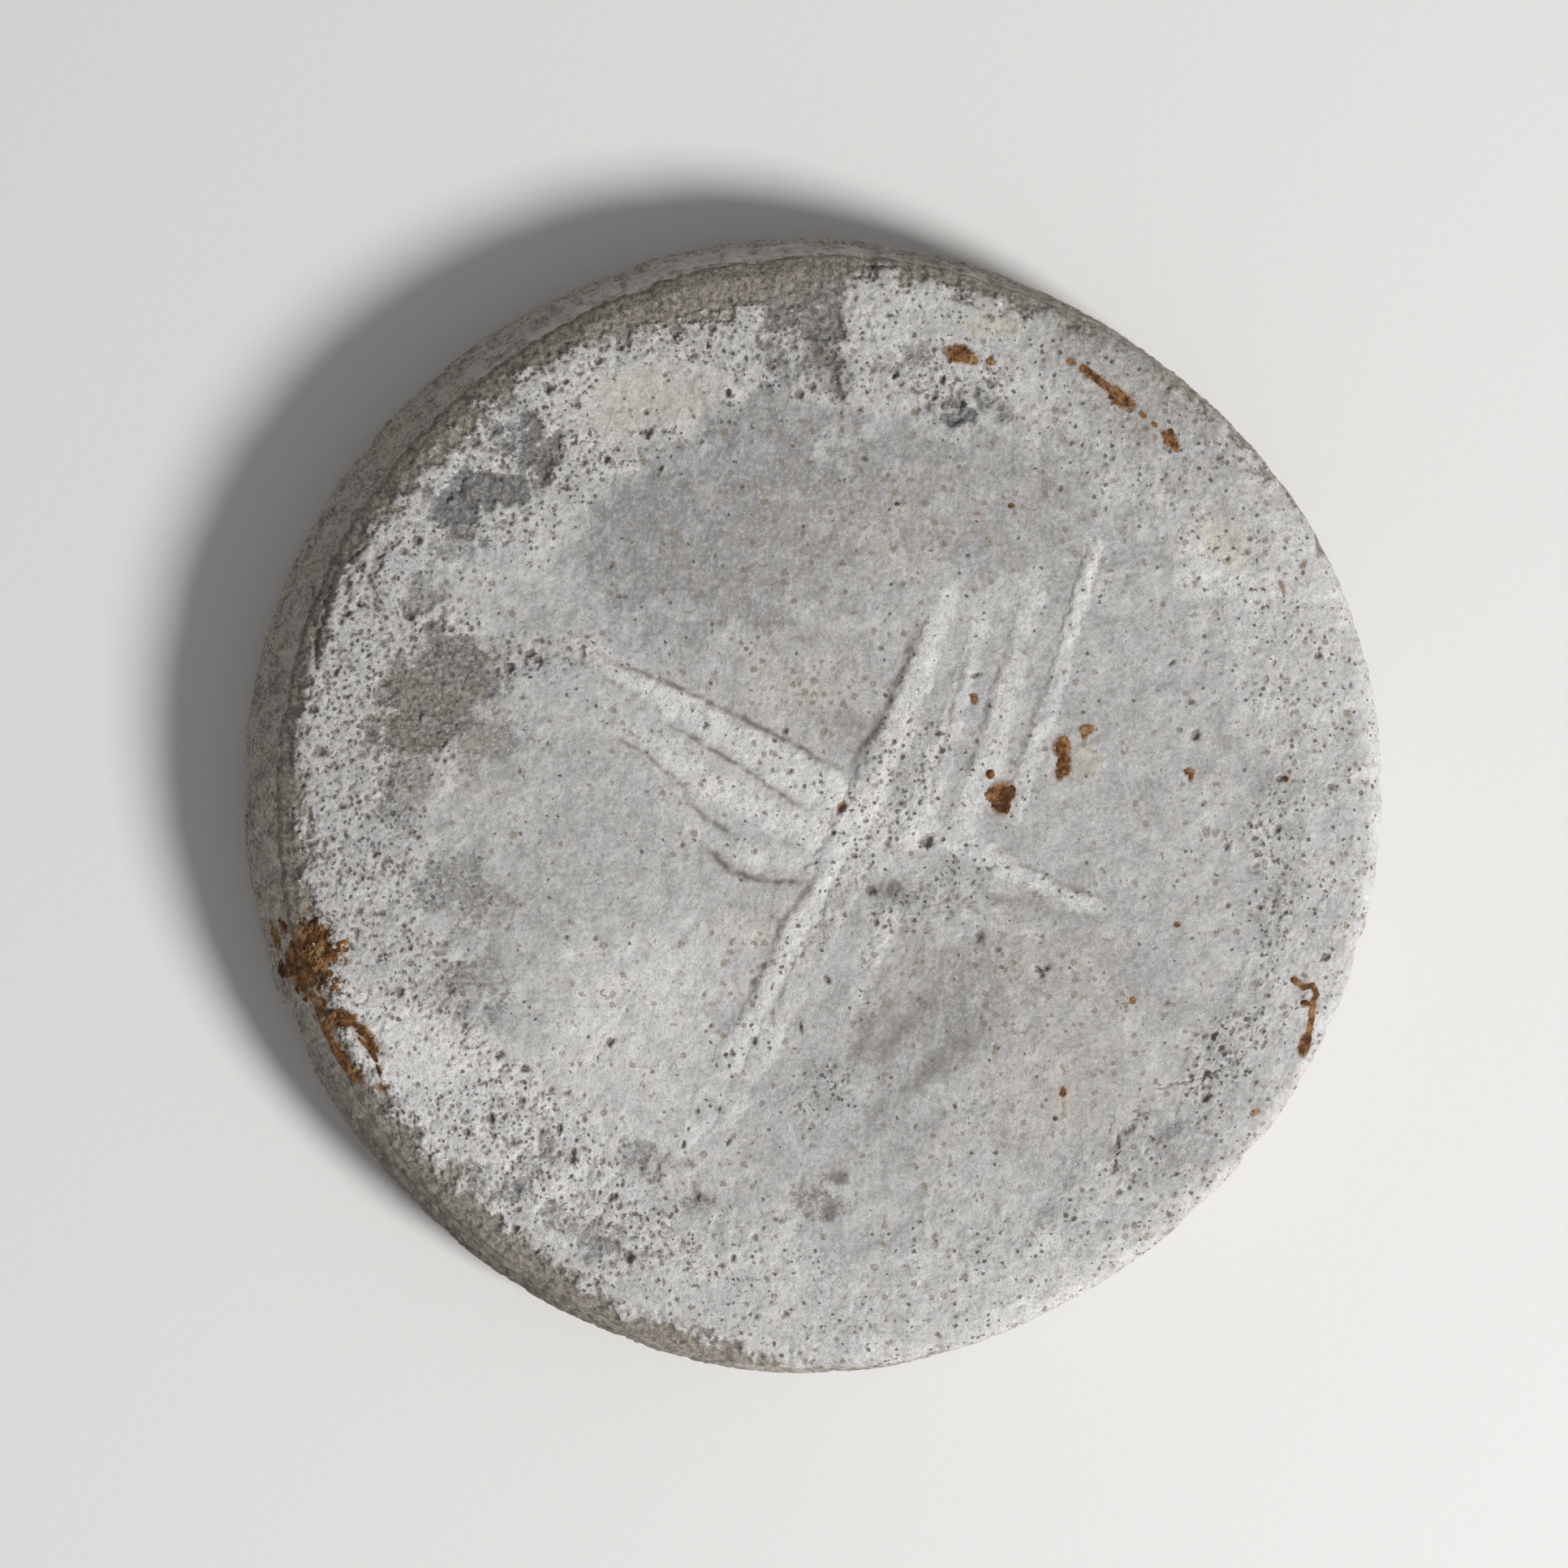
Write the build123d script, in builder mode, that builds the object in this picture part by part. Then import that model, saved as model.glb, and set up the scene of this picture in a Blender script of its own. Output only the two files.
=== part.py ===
"""Round hand-cut stone disc with a chalky rind, crossed raised lines and iron deposits on its face.

The disc lies face up. X and Y run across the face, +Z is up, and the origin is on the
table under the middle of the disc. Sizes are millimetres.
"""

import os
from math import cos, radians, sin

from build123d import *

# --- the disc ---------------------------------------------------------------
mean_radius = 29.9  # of the widest outline
stone_top = 7.5  # height of the bare stone's face
widest_height = 2.2  # height at which the side stands out furthest
shoulder_height = 5.6  # the side is drawn in slowly up to here and faster above
shoulder_share = 0.3  # how much of the drawing in has happened by then
foot_inset = 0.9  # the bottom edge is rounded inward by this much
foot_round_height = 0.8
foot_round_inset = 0.25
edge_inset = 0.35  # how far the face's edge is drawn in everywhere
side_lean = 2.4  # and how much more it is drawn in on the leaning side
lean_direction = 160  # degrees, the side that leans most
outline_points = 48

# The hand-cut outline is a circle with a few slow waves: (waves round the disc, height, phase).
outline_waves = [(2, 0.06, 14), (3, 0.22, 21), (4, 0.10, 3), (6, 0.06, 30)]

# --- the rind ---------------------------------------------------------------
rim_rind_thickness = 0.45
field_rind_thickness = 0.25
rind_edge_fillet = 0.2
field_radius = 21.5  # mean radius of the worn field inside the rim
field_drift = 2.7  # the field reaches this much further towards field_drift_direction
field_drift_direction = -30

# --- what lies on the rind --------------------------------------------------
ridge_height = 0.3
rust_thickness = 0.1
rust_skin = 0.15  # the iron crust on the side of the disc

rim_top = stone_top + rim_rind_thickness
field_top = stone_top + field_rind_thickness


def outline_radius(angle):
    """Radius of the widest outline at an angle in degrees."""
    waves = sum(size * cos(count * radians(angle - phase)) for count, size, phase in outline_waves)
    return mean_radius + waves


def drawn_in(angle):
    """How far the face's edge is drawn in from the widest outline, most on the side that leans."""
    lean = (1 + cos(radians(angle - lean_direction))) / 2
    return edge_inset + side_lean * lean**1.5


def shoulder_radius(angle):
    """Radius at the shoulder, where the side starts to round in towards the face."""
    return outline_radius(angle) - shoulder_share * drawn_in(angle)


def face_radius(angle):
    """Radius of the face's edge."""
    return outline_radius(angle) - drawn_in(angle)


def field_edge_radius(angle):
    """Radius of the worn field's edge, an off-centre circle."""
    return field_radius + field_drift * cos(radians(angle - field_drift_direction))


def ring_points(radius_at, grow=0.0):
    """Points of a closed outline whose radius is a function of angle, grown outward."""
    points = []
    for i in range(outline_points):
        angle = 360 * i / outline_points
        radius = radius_at(angle) + grow
        points.append((radius * cos(radians(angle)), radius * sin(radians(angle))))
    return points


def disc_sections(grow=0.0):
    """Height and outline of each level that the side of the disc passes through."""
    return [
        (0.0, ring_points(outline_radius, grow - foot_inset)),
        (foot_round_height, ring_points(outline_radius, grow - foot_round_inset)),
        (widest_height, ring_points(outline_radius, grow)),
        (shoulder_height, ring_points(shoulder_radius, grow)),
        (stone_top, ring_points(face_radius, grow)),
    ]


# The chipped step in the lower left of the side, cut through the whole height.
notch = [(-27.0, -10.5), (-25.85, -14.7), (-32.0, -18.0), (-32.0, -10.3)]

# Places where the rind has flaked off and the bare stone shows, each a closed curve.
left_window = [
    (-21.6, 5.0), (-21.2, 7.8), (-19.2, 8.4), (-17.0, 7.4),
    (-16.6, 5.2), (-18.0, 3.6), (-20.4, 3.0), (-22.6, 1.6),
]
upper_left_window = [
    (-19.6, 16.2), (-17.4, 18.6), (-14.6, 18.9), (-13.4, 17.0),
    (-14.8, 15.6), (-17.2, 14.4), (-19.2, 14.6),
]
top_window = [(-2.6, 30.5), (-2.2, 26.2), (-1.0, 24.7), (1.2, 25.2), (1.6, 27.0), (1.2, 30.5)]
# Smaller flakes are ellipses: (x, y, half length, half width, turn in degrees).
small_windows = [
    (8.3, 20.6, 1.2, 0.5, -5),
    (5.3, 22.9, 0.6, 0.4, 20),
    (-20.4, -11.2, 0.9, 0.6, 30),
    (-16.7, -19.2, 1.1, 0.7, -20),
]


# 1. The stone itself: one layered slab, cut round, with a side that leans out on the left.
with BuildPart() as stone_body:
    for height, points in disc_sections():
        with BuildSketch(Plane.XY.offset(height)):
            with BuildLine():
                Spline(*points, periodic=True)
            make_face()
    loft()
    with BuildSketch():
        with BuildLine():
            Polyline(*notch, close=True)
        make_face()
    extrude(amount=rim_top, mode=Mode.SUBTRACT)
stone_body.part.label = "stone_body"


# The cutter for the windows goes through both rinds.
with BuildPart() as windows:
    with BuildSketch(Plane.XY.offset(stone_top)):
        for curve in (left_window, upper_left_window, top_window):
            with BuildLine():
                Spline(*curve, periodic=True)
            make_face()
        for x, y, half_length, half_width, turn in small_windows:
            with Locations(Location((x, y), turn)):
                Ellipse(half_length, half_width)
    extrude(amount=2 * rim_rind_thickness)


# 2. The thick rind round the edge of the face.
with BuildPart() as rim_rind:
    with BuildSketch(Plane.XY.offset(stone_top)):
        with BuildLine():
            Spline(*ring_points(face_radius), periodic=True)
        make_face()
    extrude(amount=rim_rind_thickness)
    fillet(rim_rind.edges().group_by(Axis.Z)[-1], rind_edge_fillet)
    with BuildSketch(Plane.XY.offset(stone_top)):
        with BuildLine():
            Spline(*ring_points(field_edge_radius), periodic=True)
        make_face()
    extrude(amount=2 * rim_rind_thickness, mode=Mode.SUBTRACT)
    add(windows.part, mode=Mode.SUBTRACT)
rim_rind.part.label = "rim_rind"


# 3. The thin worn rind inside it.
with BuildPart() as field_rind:
    with BuildSketch(Plane.XY.offset(stone_top)):
        with BuildLine():
            Spline(*ring_points(field_edge_radius), periodic=True)
        make_face()
    extrude(amount=field_rind_thickness)
    add(windows.part, mode=Mode.SUBTRACT)
field_rind.part.label = "field_rind"


def ridge_outline(points, widths):
    """Outline of a raised line: its left and right edges as splines that meet at both ends."""
    start, end = Vector(*points[0]), Vector(*points[-1])
    across = (end - start).normalized().rotate(Axis.Z, 90)
    left = [Vector(*p) + across * w / 2 for p, w in zip(points[1:-1], widths)]
    right = [Vector(*p) - across * w / 2 for p, w in zip(points[1:-1], widths)]
    with BuildLine() as outline:
        Spline(start, *left, end)
        Spline(start, *right, end)
    make_face(outline.edges())


# Each raised line is its middle line and its width at each point between its two ends.
long_lines = [
    (
        [(8.0, 10.9), (6.2, 7.4), (3.6, 1.9), (0.8, -3.9), (-3.2, -11.9), (-6.0, -17.2)],
        [1.0, 1.2, 1.2, 1.2, 1.0],
    ),
    ([(9.5, 10.4), (7.8, 6.8), (6.3, 3.3), (4.5, -0.7)], [0.9, 1.0]),
    ([(1.2, -8.9), (-0.6, -11.0), (-1.6, -13.6), (-3.1, -16.5)], [0.8, 0.8]),
    ([(12.1, 13.6), (11.6, 10.3), (10.1, 6.4), (8.3, 2.1), (7.1, -0.5)], [0.6, 0.8, 0.9]),
    ([(15.0, 13.3), (14.0, 10.5), (13.2, 7.8), (12.4, 5.2), (11.4, 1.9)], [0.5, 0.7, 0.6]),
]
west_lines = [
    ([(-10.4, 7.1), (-7.6, 5.9), (-4.7, 4.2), (-1.2, 2.3), (1.4, 0.5)], [1.2, 1.5, 1.4]),
    ([(-7.6, 2.2), (-4.9, 0.7), (-2.6, -0.5), (0.3, -2.0)], [1.0, 1.0]),
    ([(-5.7, -1.6), (-3.9, -2.7), (-2.2, -3.2), (-0.4, -3.6)], [0.9, 0.9]),
]
east_lines = [
    ([(7.1, -2.3), (8.6, -2.9), (10.3, -3.7), (12.3, -4.6), (14.4, -5.3)], [0.9, 1.0, 0.7]),
    ([(7.4, -4.9), (9.2, -5.4), (10.9, -5.8), (12.7, -6.2)], [0.6, 0.6]),
]


# 4. The raised lines that run the length of the face.
with BuildPart() as long_line_ridges:
    with BuildSketch(Plane.XY.offset(field_top)):
        for points, widths in long_lines:
            ridge_outline(points, widths)
    extrude(amount=ridge_height)
long_line_ridges.part.label = "long_line_ridges"

# 5. The raised lines that come in from the left and stop against them.
with BuildPart() as west_line_ridges:
    with BuildSketch(Plane.XY.offset(field_top)):
        for points, widths in west_lines:
            ridge_outline(points, widths)
    extrude(amount=ridge_height)
west_line_ridges.part.label = "west_line_ridges"

# 6. The short raised lines on the right.
with BuildPart() as east_line_ridges:
    with BuildSketch(Plane.XY.offset(field_top)):
        for points, widths in east_lines:
            ridge_outline(points, widths)
    extrude(amount=ridge_height)
east_line_ridges.part.label = "east_line_ridges"


# 7. The iron crust that wraps over the edge and down the side at the lower left: a skin of the
# disc grown outward by its thickness, kept only inside the patch's outline.
edge_patch = [(-26.4, -6.0), (-24.5, -9.0), (-25.4, -10.3), (-27.4, -10.3), (-30.5, -9.6), (-30.5, -7.6)]
patch_bottom = 3.2
with BuildPart() as rust_edge_patch:
    for height, points in disc_sections(rust_skin):
        with BuildSketch(Plane.XY.offset(height)):
            with BuildLine():
                Spline(*points, periodic=True)
            make_face()
    loft()
    with BuildSketch(Plane.XY.offset(stone_top)):
        with BuildLine():
            Spline(*ring_points(face_radius, rust_skin), periodic=True)
        make_face()
    extrude(amount=rim_rind_thickness + rust_thickness)
    with BuildSketch(Plane.XY.offset(patch_bottom)):
        with BuildLine():
            Polyline(*edge_patch, close=True)
        make_face()
    extrude(amount=rim_top, mode=Mode.INTERSECT)
    add(stone_body.part, mode=Mode.SUBTRACT)
    add(rim_rind.part, mode=Mode.SUBTRACT)
rust_edge_patch.part.label = "rust_edge_patch"


def rust_ellipses(spots):
    """Outlines of iron deposits: (x, y, half length, half width, turn in degrees)."""
    for x, y, half_length, half_width, turn in spots:
        with Locations(Location((x, y), turn)):
            Ellipse(half_length, half_width)


# 8. The blob with a tail on the face beside the patch.
edge_drip = [(-24.9, -11.0), (-23.9, -10.8), (-22.8, -11.8), (-22.1, -13.6), (-23.4, -12.4), (-24.6, -11.9)]
with BuildPart() as rust_edge_drip:
    with BuildSketch(Plane.XY.offset(rim_top)):
        with BuildLine():
            Spline(*edge_drip, periodic=True)
        make_face()
    extrude(amount=rust_thickness)
rust_edge_drip.part.label = "rust_edge_drip"

# 9. The blob near the top, with a crumb beside it.
with BuildPart() as rust_top_blob:
    with BuildSketch(Plane.XY.offset(rim_top)):
        rust_ellipses([(7.9, 23.1, 0.75, 0.4, -8), (9.4, 22.75, 0.25, 0.2, 0)])
    extrude(amount=rust_thickness)
rust_top_blob.part.label = "rust_top_blob"

# 10. The row of drops at the upper right.
with BuildPart() as rust_streak:
    with BuildSketch(Plane.XY.offset(rim_top)):
        rust_ellipses([
            (13.6, 22.7, 0.25, 0.2, 0),
            (15.5, 21.3, 1.6, 0.28, -38),
            (17.5, 19.9, 0.3, 0.18, -38),
            (18.9, 18.6, 0.5, 0.28, -50),
        ])
    extrude(amount=rust_thickness)
rust_streak.part.label = "rust_streak"

# 11. The curled mark on the right of the rim.
with BuildPart() as rust_rim_curl:
    with BuildSketch(Plane.XY.offset(rim_top)):
        rust_ellipses([(26.0, -10.2, 0.55, 0.8, 10), (25.9, -12.6, 0.35, 0.9, -8)])
    extrude(amount=rust_thickness)
rust_rim_curl.part.label = "rust_rim_curl"

# 12. The spots scattered over the worn field.
field_spots = [
    (10.0, 0.3, 0.65, 0.8, 20),
    (9.4, 1.4, 0.2, 0.2, 0),
    (13.1, 2.5, 0.45, 0.95, 0),
    (14.4, 3.75, 0.35, 0.28, 0),
    (8.6, 5.3, 0.2, 0.2, 0),
    (19.7, 1.55, 0.25, 0.25, 0),
    (19.1, -6.35, 0.25, 0.2, 0),
    (16.8, -10.3, 0.25, 0.25, 0),
    (13.2, -15.0, 0.3, 0.25, 0),
    (12.8, -16.4, 0.25, 0.2, 0),
    (10.5, 15.3, 0.3, 0.22, 0),
    (4.6, 15.4, 0.25, 0.2, 0),
]
with BuildPart() as rust_field_spots:
    with BuildSketch(Plane.XY.offset(field_top)):
        rust_ellipses(field_spots)
    extrude(amount=rust_thickness)
rust_field_spots.part.label = "rust_field_spots"


os.makedirs("parts", exist_ok=True)
pieces = [
    stone_body, rim_rind, field_rind,
    long_line_ridges, west_line_ridges, east_line_ridges,
    rust_edge_patch, rust_edge_drip, rust_top_blob, rust_streak, rust_rim_curl, rust_field_spots,
]
for piece in pieces:
    export_step(piece.part, f"parts/{piece.part.label}.step")
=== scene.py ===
"""A small round stone disc with a chalky rind, crossed raised lines and iron stains, built up as
the real one came about: the cut stone, the rind on its face, the raised lines, then the iron.

Sizes are millimetres until a mesh is made, and every surface is a height worked out over the face.
"""

import bpy
import numpy as np
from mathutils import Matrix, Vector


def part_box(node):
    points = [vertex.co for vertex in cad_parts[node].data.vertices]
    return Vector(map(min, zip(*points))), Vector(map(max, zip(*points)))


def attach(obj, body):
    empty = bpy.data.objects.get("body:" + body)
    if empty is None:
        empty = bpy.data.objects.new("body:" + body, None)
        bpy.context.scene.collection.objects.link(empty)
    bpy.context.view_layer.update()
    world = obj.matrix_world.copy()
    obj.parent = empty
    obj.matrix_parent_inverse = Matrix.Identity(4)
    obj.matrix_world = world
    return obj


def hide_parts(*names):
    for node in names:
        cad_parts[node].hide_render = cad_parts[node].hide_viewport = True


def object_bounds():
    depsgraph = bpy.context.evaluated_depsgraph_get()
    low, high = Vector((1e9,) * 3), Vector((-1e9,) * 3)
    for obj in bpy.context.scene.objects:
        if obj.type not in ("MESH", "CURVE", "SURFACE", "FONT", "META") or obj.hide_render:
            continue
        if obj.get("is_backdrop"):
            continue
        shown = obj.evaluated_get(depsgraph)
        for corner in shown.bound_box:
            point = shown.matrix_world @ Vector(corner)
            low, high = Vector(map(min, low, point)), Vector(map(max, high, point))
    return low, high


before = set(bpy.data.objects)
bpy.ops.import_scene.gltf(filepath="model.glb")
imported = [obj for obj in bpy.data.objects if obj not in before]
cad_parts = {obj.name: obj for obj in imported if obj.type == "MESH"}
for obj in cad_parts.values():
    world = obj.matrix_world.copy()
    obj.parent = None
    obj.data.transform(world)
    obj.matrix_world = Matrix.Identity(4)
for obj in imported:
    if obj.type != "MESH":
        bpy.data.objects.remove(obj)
cad_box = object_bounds()

# ------------------------------------------------------------------------------------------------
# The stone. One slab of grey, fine-grained, layered stone, cut round by hand, with a side that
# leans out on the left. Its face shows only where the rind has flaked away.
mm = 0.001
foot, stone_top = (corner.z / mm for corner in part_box("stone_body"))
mean_radius = 29.9
outline_waves = [(2, 0.06, 14), (3, 0.22, 21), (4, 0.10, 3), (6, 0.06, 30)]
widest_height = 2.2
foot_inset = 0.9
edge_inset = 0.35
side_lean = 2.4
lean_direction = 160
shoulder_power = 2.6
# The face and the side are drawn in by this much, so that their grain stays inside the stone's size.
face_room = 0.08
side_room = 0.16


def eased(low, high, value):
    """0 below low, 1 above high, and a smooth S between them."""
    share = np.clip((value - low) / (high - low), 0, 1)
    return share * share * (3 - 2 * share)


def hills(u, v, seed, around=None):
    """Smooth random hills about one unit apart, from -1 to 1. Each corner of a unit lattice has a
    random slope; a point takes its four corners' sloping planes, mixed by a fifth-power ease.
    With around, the hills close on themselves after that many units of u."""
    turns = np.random.default_rng(seed).uniform(0, 2 * np.pi, 65536)
    slope_u, slope_v = np.cos(turns), np.sin(turns)
    i, j = np.floor(u).astype(np.int64), np.floor(v).astype(np.int64)
    a, b = u - i, v - j
    ease_a = a * a * a * (a * (6 * a - 15) + 10)
    ease_b = b * b * b * (b * (6 * b - 15) + 10)

    def plane(di, dj):
        column = i + di if around is None else (i + di) % around
        corner = (column * 7919 + (j + dj) * 104729) % turns.size
        return slope_u[corner] * (a - di) + slope_v[corner] * (b - dj)

    this_row = plane(0, 0) + ease_a * (plane(1, 0) - plane(0, 0))
    next_row = plane(0, 1) + ease_a * (plane(1, 1) - plane(0, 1))
    return 1.5 * (this_row + ease_b * (next_row - this_row))


def rough(x, y, size, seed, layers=4, fade=0.55):
    """Hills size mm apart with finer hills on them: each layer is half the size and fade as high."""
    return sum(fade**k * hills(x / size * 2**k, y / size * 2**k, seed + k) for k in range(layers))


def rough_round(turn, height, long, tall, seed, layers=3, fade=0.55):
    """The same on the side of the disc: long mm round it and tall mm up it, with no seam."""
    around = round(2 * np.pi * mean_radius / long)
    share = turn / (2 * np.pi) * around
    return sum(
        fade**k * hills(share * 2**k, height / tall * 2**k, seed + k, around * 2**k) for k in range(layers)
    )


def outline_radius(turn):
    """Radius of the widest outline: a circle with a few slow waves."""
    waves = sum(size * np.cos(count * (turn - np.radians(phase))) for count, size, phase in outline_waves)
    return mean_radius + waves


def degrees_from(turn, middle):
    """Degrees round the disc from a middle direction, from -180 to 180."""
    return np.degrees(np.angle(np.exp(1j * (turn - np.radians(middle)))))


def leaning(turn):
    """1 where the side leans most, 0 opposite."""
    return (1 + np.cos(turn - np.radians(lean_direction))) / 2


def edge_radius(turn):
    """Radius of the face's edge: drawn in on the leaning side, and crumbled a little all round."""
    crumble = 0.30 * np.clip(rough_round(turn, 0 * turn, 3.2, 1, 11), 0, 1)
    crumble += 0.12 * np.clip(rough_round(turn, 0 * turn, 0.9, 1, 15), 0, 1)
    return outline_radius(turn) - edge_inset - side_lean * leaning(turn) ** 1.5 - crumble


def face_roll(turn):
    """How far the edge of the face is rounded down: more where the side doesn't lean."""
    return 0.22 + 0.45 * (1 - leaning(turn))


def stone_height(x, y):
    """Height of the bare stone's face: level, rounded down at its edge, with fine grain."""
    turn, reach = np.arctan2(y, x), np.hypot(x, y)
    roll_width = 1.1 + 1.3 * (1 - leaning(turn))
    down = face_roll(turn) * np.clip(1 - (edge_radius(turn) - reach) / roll_width, 0, 1) ** 2
    return stone_top - face_room - down + 0.03 * rough(x, y, 0.9, 25, 4, 0.7)


# The notch in the lower left of the side is a flat break between two turns of the disc.
notch_from, notch_to = np.radians([201.2, 209.8])
notch_facing, notch_distance = np.radians(195.3), 28.85


def side_point(turn, drop):
    """A point of the disc's side: drop runs from 0 at the face's edge to 1 at the foot. The side
    bulges out to the widest outline, then rounds in under it. Layers in the stone stand out as
    thin level bands, and it is grained and chipped all over, always inward from the outline."""
    top = stone_top - face_room - face_roll(turn)
    height = top + (foot - top) * drop
    above = np.clip((height - widest_height) / (top - widest_height), 0, 1)
    below = np.clip((widest_height - height) / (widest_height - foot), 0, 1)
    widest = outline_radius(turn) - side_room
    radius = widest + (edge_radius(turn) - widest) * above**shoulder_power - foot_inset * below**2.5
    broken = (notch_distance + 0.1 * rough_round(turn, height, 1.2, 1.2, 31)) / np.cos(turn - notch_facing)
    in_notch = (turn % (2 * np.pi) > notch_from) & (turn % (2 * np.pi) < notch_to)
    radius = np.where(in_notch, np.minimum(radius, broken), radius)
    bands = rough_round(turn, height, 9, 0.55, 33, 4, 0.6)
    facets = rough_round(turn, height, 5, 4, 41, 2)
    chips = np.clip(rough_round(turn, height, 1.1, 0.8, 45, 3) - 0.35, 0, 1)
    grain = rough_round(turn, height, 0.45, 0.35, 51, 2, 0.7)
    inward = 0.10 + 0.09 * bands + 0.12 * facets + 0.45 * chips + 0.09 * grain
    settle = eased(0, 0.20, drop)
    radius = radius - settle * np.clip(inward, 0, 0.6)
    return radius * np.cos(turn), radius * np.sin(turn), height + 0 * radius


def make_piece(name, patches, material, wraps=False):
    """One closed mesh from patches of points on grids. Each patch is (x, y, z, floor, marks), and
    its rows and columns turn anticlockwise seen from outside. A patch that wraps joins its last
    column to its first, and its two open ends are closed by flat faces. Any other patch gets a wall
    straight down from its outer line to the height floor, closed by one flat face underneath.
    marks are named values at each point, which the material reads."""
    points, corners, sizes, written, start = [], [], [], {}, 0
    for x, y, z, floor, marks in patches:
        rows, columns = x.shape
        grid = start + np.arange(rows * columns).reshape(rows, columns)
        here = np.stack([x, y, z], -1).reshape(-1, 3)
        values = {key: np.broadcast_to(value, x.shape).ravel() for key, value in marks.items()}
        if wraps:
            ring = np.concatenate([grid, grid[:, :1]], 1)
            quads = [ring[:-1, :-1], ring[1:, :-1], ring[1:, 1:], ring[:-1, 1:]]
            closing = [grid[0], grid[-1][::-1]]
        else:
            quads = [grid[:-1, :-1], grid[1:, :-1], grid[1:, 1:], grid[:-1, 1:]]
            line = np.concatenate([grid[:-1, 0], grid[-1, :-1], grid[:0:-1, -1], grid[0, :0:-1]])
            under = start + len(here) + np.arange(len(line))
            wall = np.stack([line, under, np.roll(under, -1), np.roll(line, -1)], -1)
            below = here[line - start].copy()
            below[:, 2] = floor
            here = np.concatenate([here, below])
            values = {key: np.concatenate([value, value[line - start]]) for key, value in values.items()}
            closing = [under[::-1]]
        faces = np.stack([q.ravel() for q in quads], -1)
        faces = faces if wraps else np.concatenate([faces, wall])
        corners += [faces.ravel(), *closing]
        sizes += [np.full(len(faces), 4), *([len(c)] for c in closing)]
        points.append(here)
        for key, value in values.items():
            written.setdefault(key, []).append(value)
        start += len(here)
    points, corners, sizes = np.concatenate(points), np.concatenate(corners), np.concatenate(sizes)
    mesh = bpy.data.meshes.new(name)
    mesh.vertices.add(len(points))
    mesh.vertices.foreach_set("co", (points * mm).ravel().astype(np.float32))
    mesh.loops.add(len(corners))
    mesh.loops.foreach_set("vertex_index", corners.astype(np.int32))
    mesh.polygons.add(len(sizes))
    mesh.polygons.foreach_set("loop_start", (np.cumsum(sizes) - sizes).astype(np.int32))
    for key, values in written.items():
        layer = mesh.attributes.new(key, "FLOAT", "POINT")
        layer.data.foreach_set("value", np.concatenate(values).astype(np.float32))
    mesh.update(calc_edges=True)
    mesh.shade_smooth()
    mesh.set_sharp_from_angle(angle=np.radians(70))
    mesh.materials.append(material)
    piece = bpy.data.objects.new(name, mesh)
    bpy.context.scene.collection.objects.link(piece)
    return piece


def hex_colour(code):
    """A colour written as an sRGB hex value, turned linear."""
    value = np.array([int(code[i : i + 2], 16) for i in (1, 3, 5)]) / 255
    linear = np.where(value <= 0.04045, value / 12.92, ((value + 0.055) / 1.055) ** 2.4)
    return (*linear, 1)


def add_node(tree, kind, out=None, **given):
    """Adds one node. Each given name is a setting of the node or one of its sockets, and a socket's
    value is a number, a hex colour or another node's socket to link from. Returns its output."""
    made = tree.nodes.new(kind)
    for key in [k for k in given if k in made.bl_rna.properties]:
        setattr(made, key, given.pop(key))
    sockets = {s.identifier.replace(" ", "_"): s for s in made.inputs}
    for key, value in given.items():
        if isinstance(value, bpy.types.NodeSocket):
            tree.links.new(value, sockets[key])
        else:
            sockets[key].default_value = hex_colour(value) if str(value).startswith("#") else value
    return made.outputs[out] if out else next((s for s in made.outputs if s.enabled), None)


def new_material(name, marks=()):
    """An empty node material, its own place coordinates in metres, and the piece's named values."""
    material = bpy.data.materials.new(name)
    material.use_nodes = True
    tree = material.node_tree
    tree.nodes.clear()
    read = {mark: add_node(tree, "ShaderNodeAttribute", "Fac", attribute_name=mark) for mark in marks}
    return material, tree, add_node(tree, "ShaderNodeTexCoord", "Object"), read


def coats(tree, colour, layers):
    """Coats of colour laid one over another. Each is (pattern, low, high, strength, its colour): it
    is missing where the pattern is at low, and at its full strength where the pattern is at high."""
    for pattern, low, high, strength, coat in layers:
        share = add_node(
            tree, "ShaderNodeMapRange", Value=pattern, From_Min=low, From_Max=high, To_Max=strength
        )
        colour = add_node(
            tree, "ShaderNodeMix", data_type="RGBA", Factor_Float=share, A_Color=colour, B_Color=coat
        )
    return colour


def finish_material(tree, colour, roughness, bump_height, distance):
    """Dry, dull mineral: a rough surface with hardly any shine, and fine relief distance mm deep."""
    normal = add_node(tree, "ShaderNodeBump", Height=bump_height, Distance=distance * mm, Strength=1.0)
    shader = add_node(
        tree, "ShaderNodeBsdfPrincipled", Base_Color=colour, Roughness=roughness, Normal=normal, IOR=1.5
    )
    shader.node.inputs["Specular IOR Level"].default_value = 0.25
    add_node(tree, "ShaderNodeOutputMaterial", Surface=shader)


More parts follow.
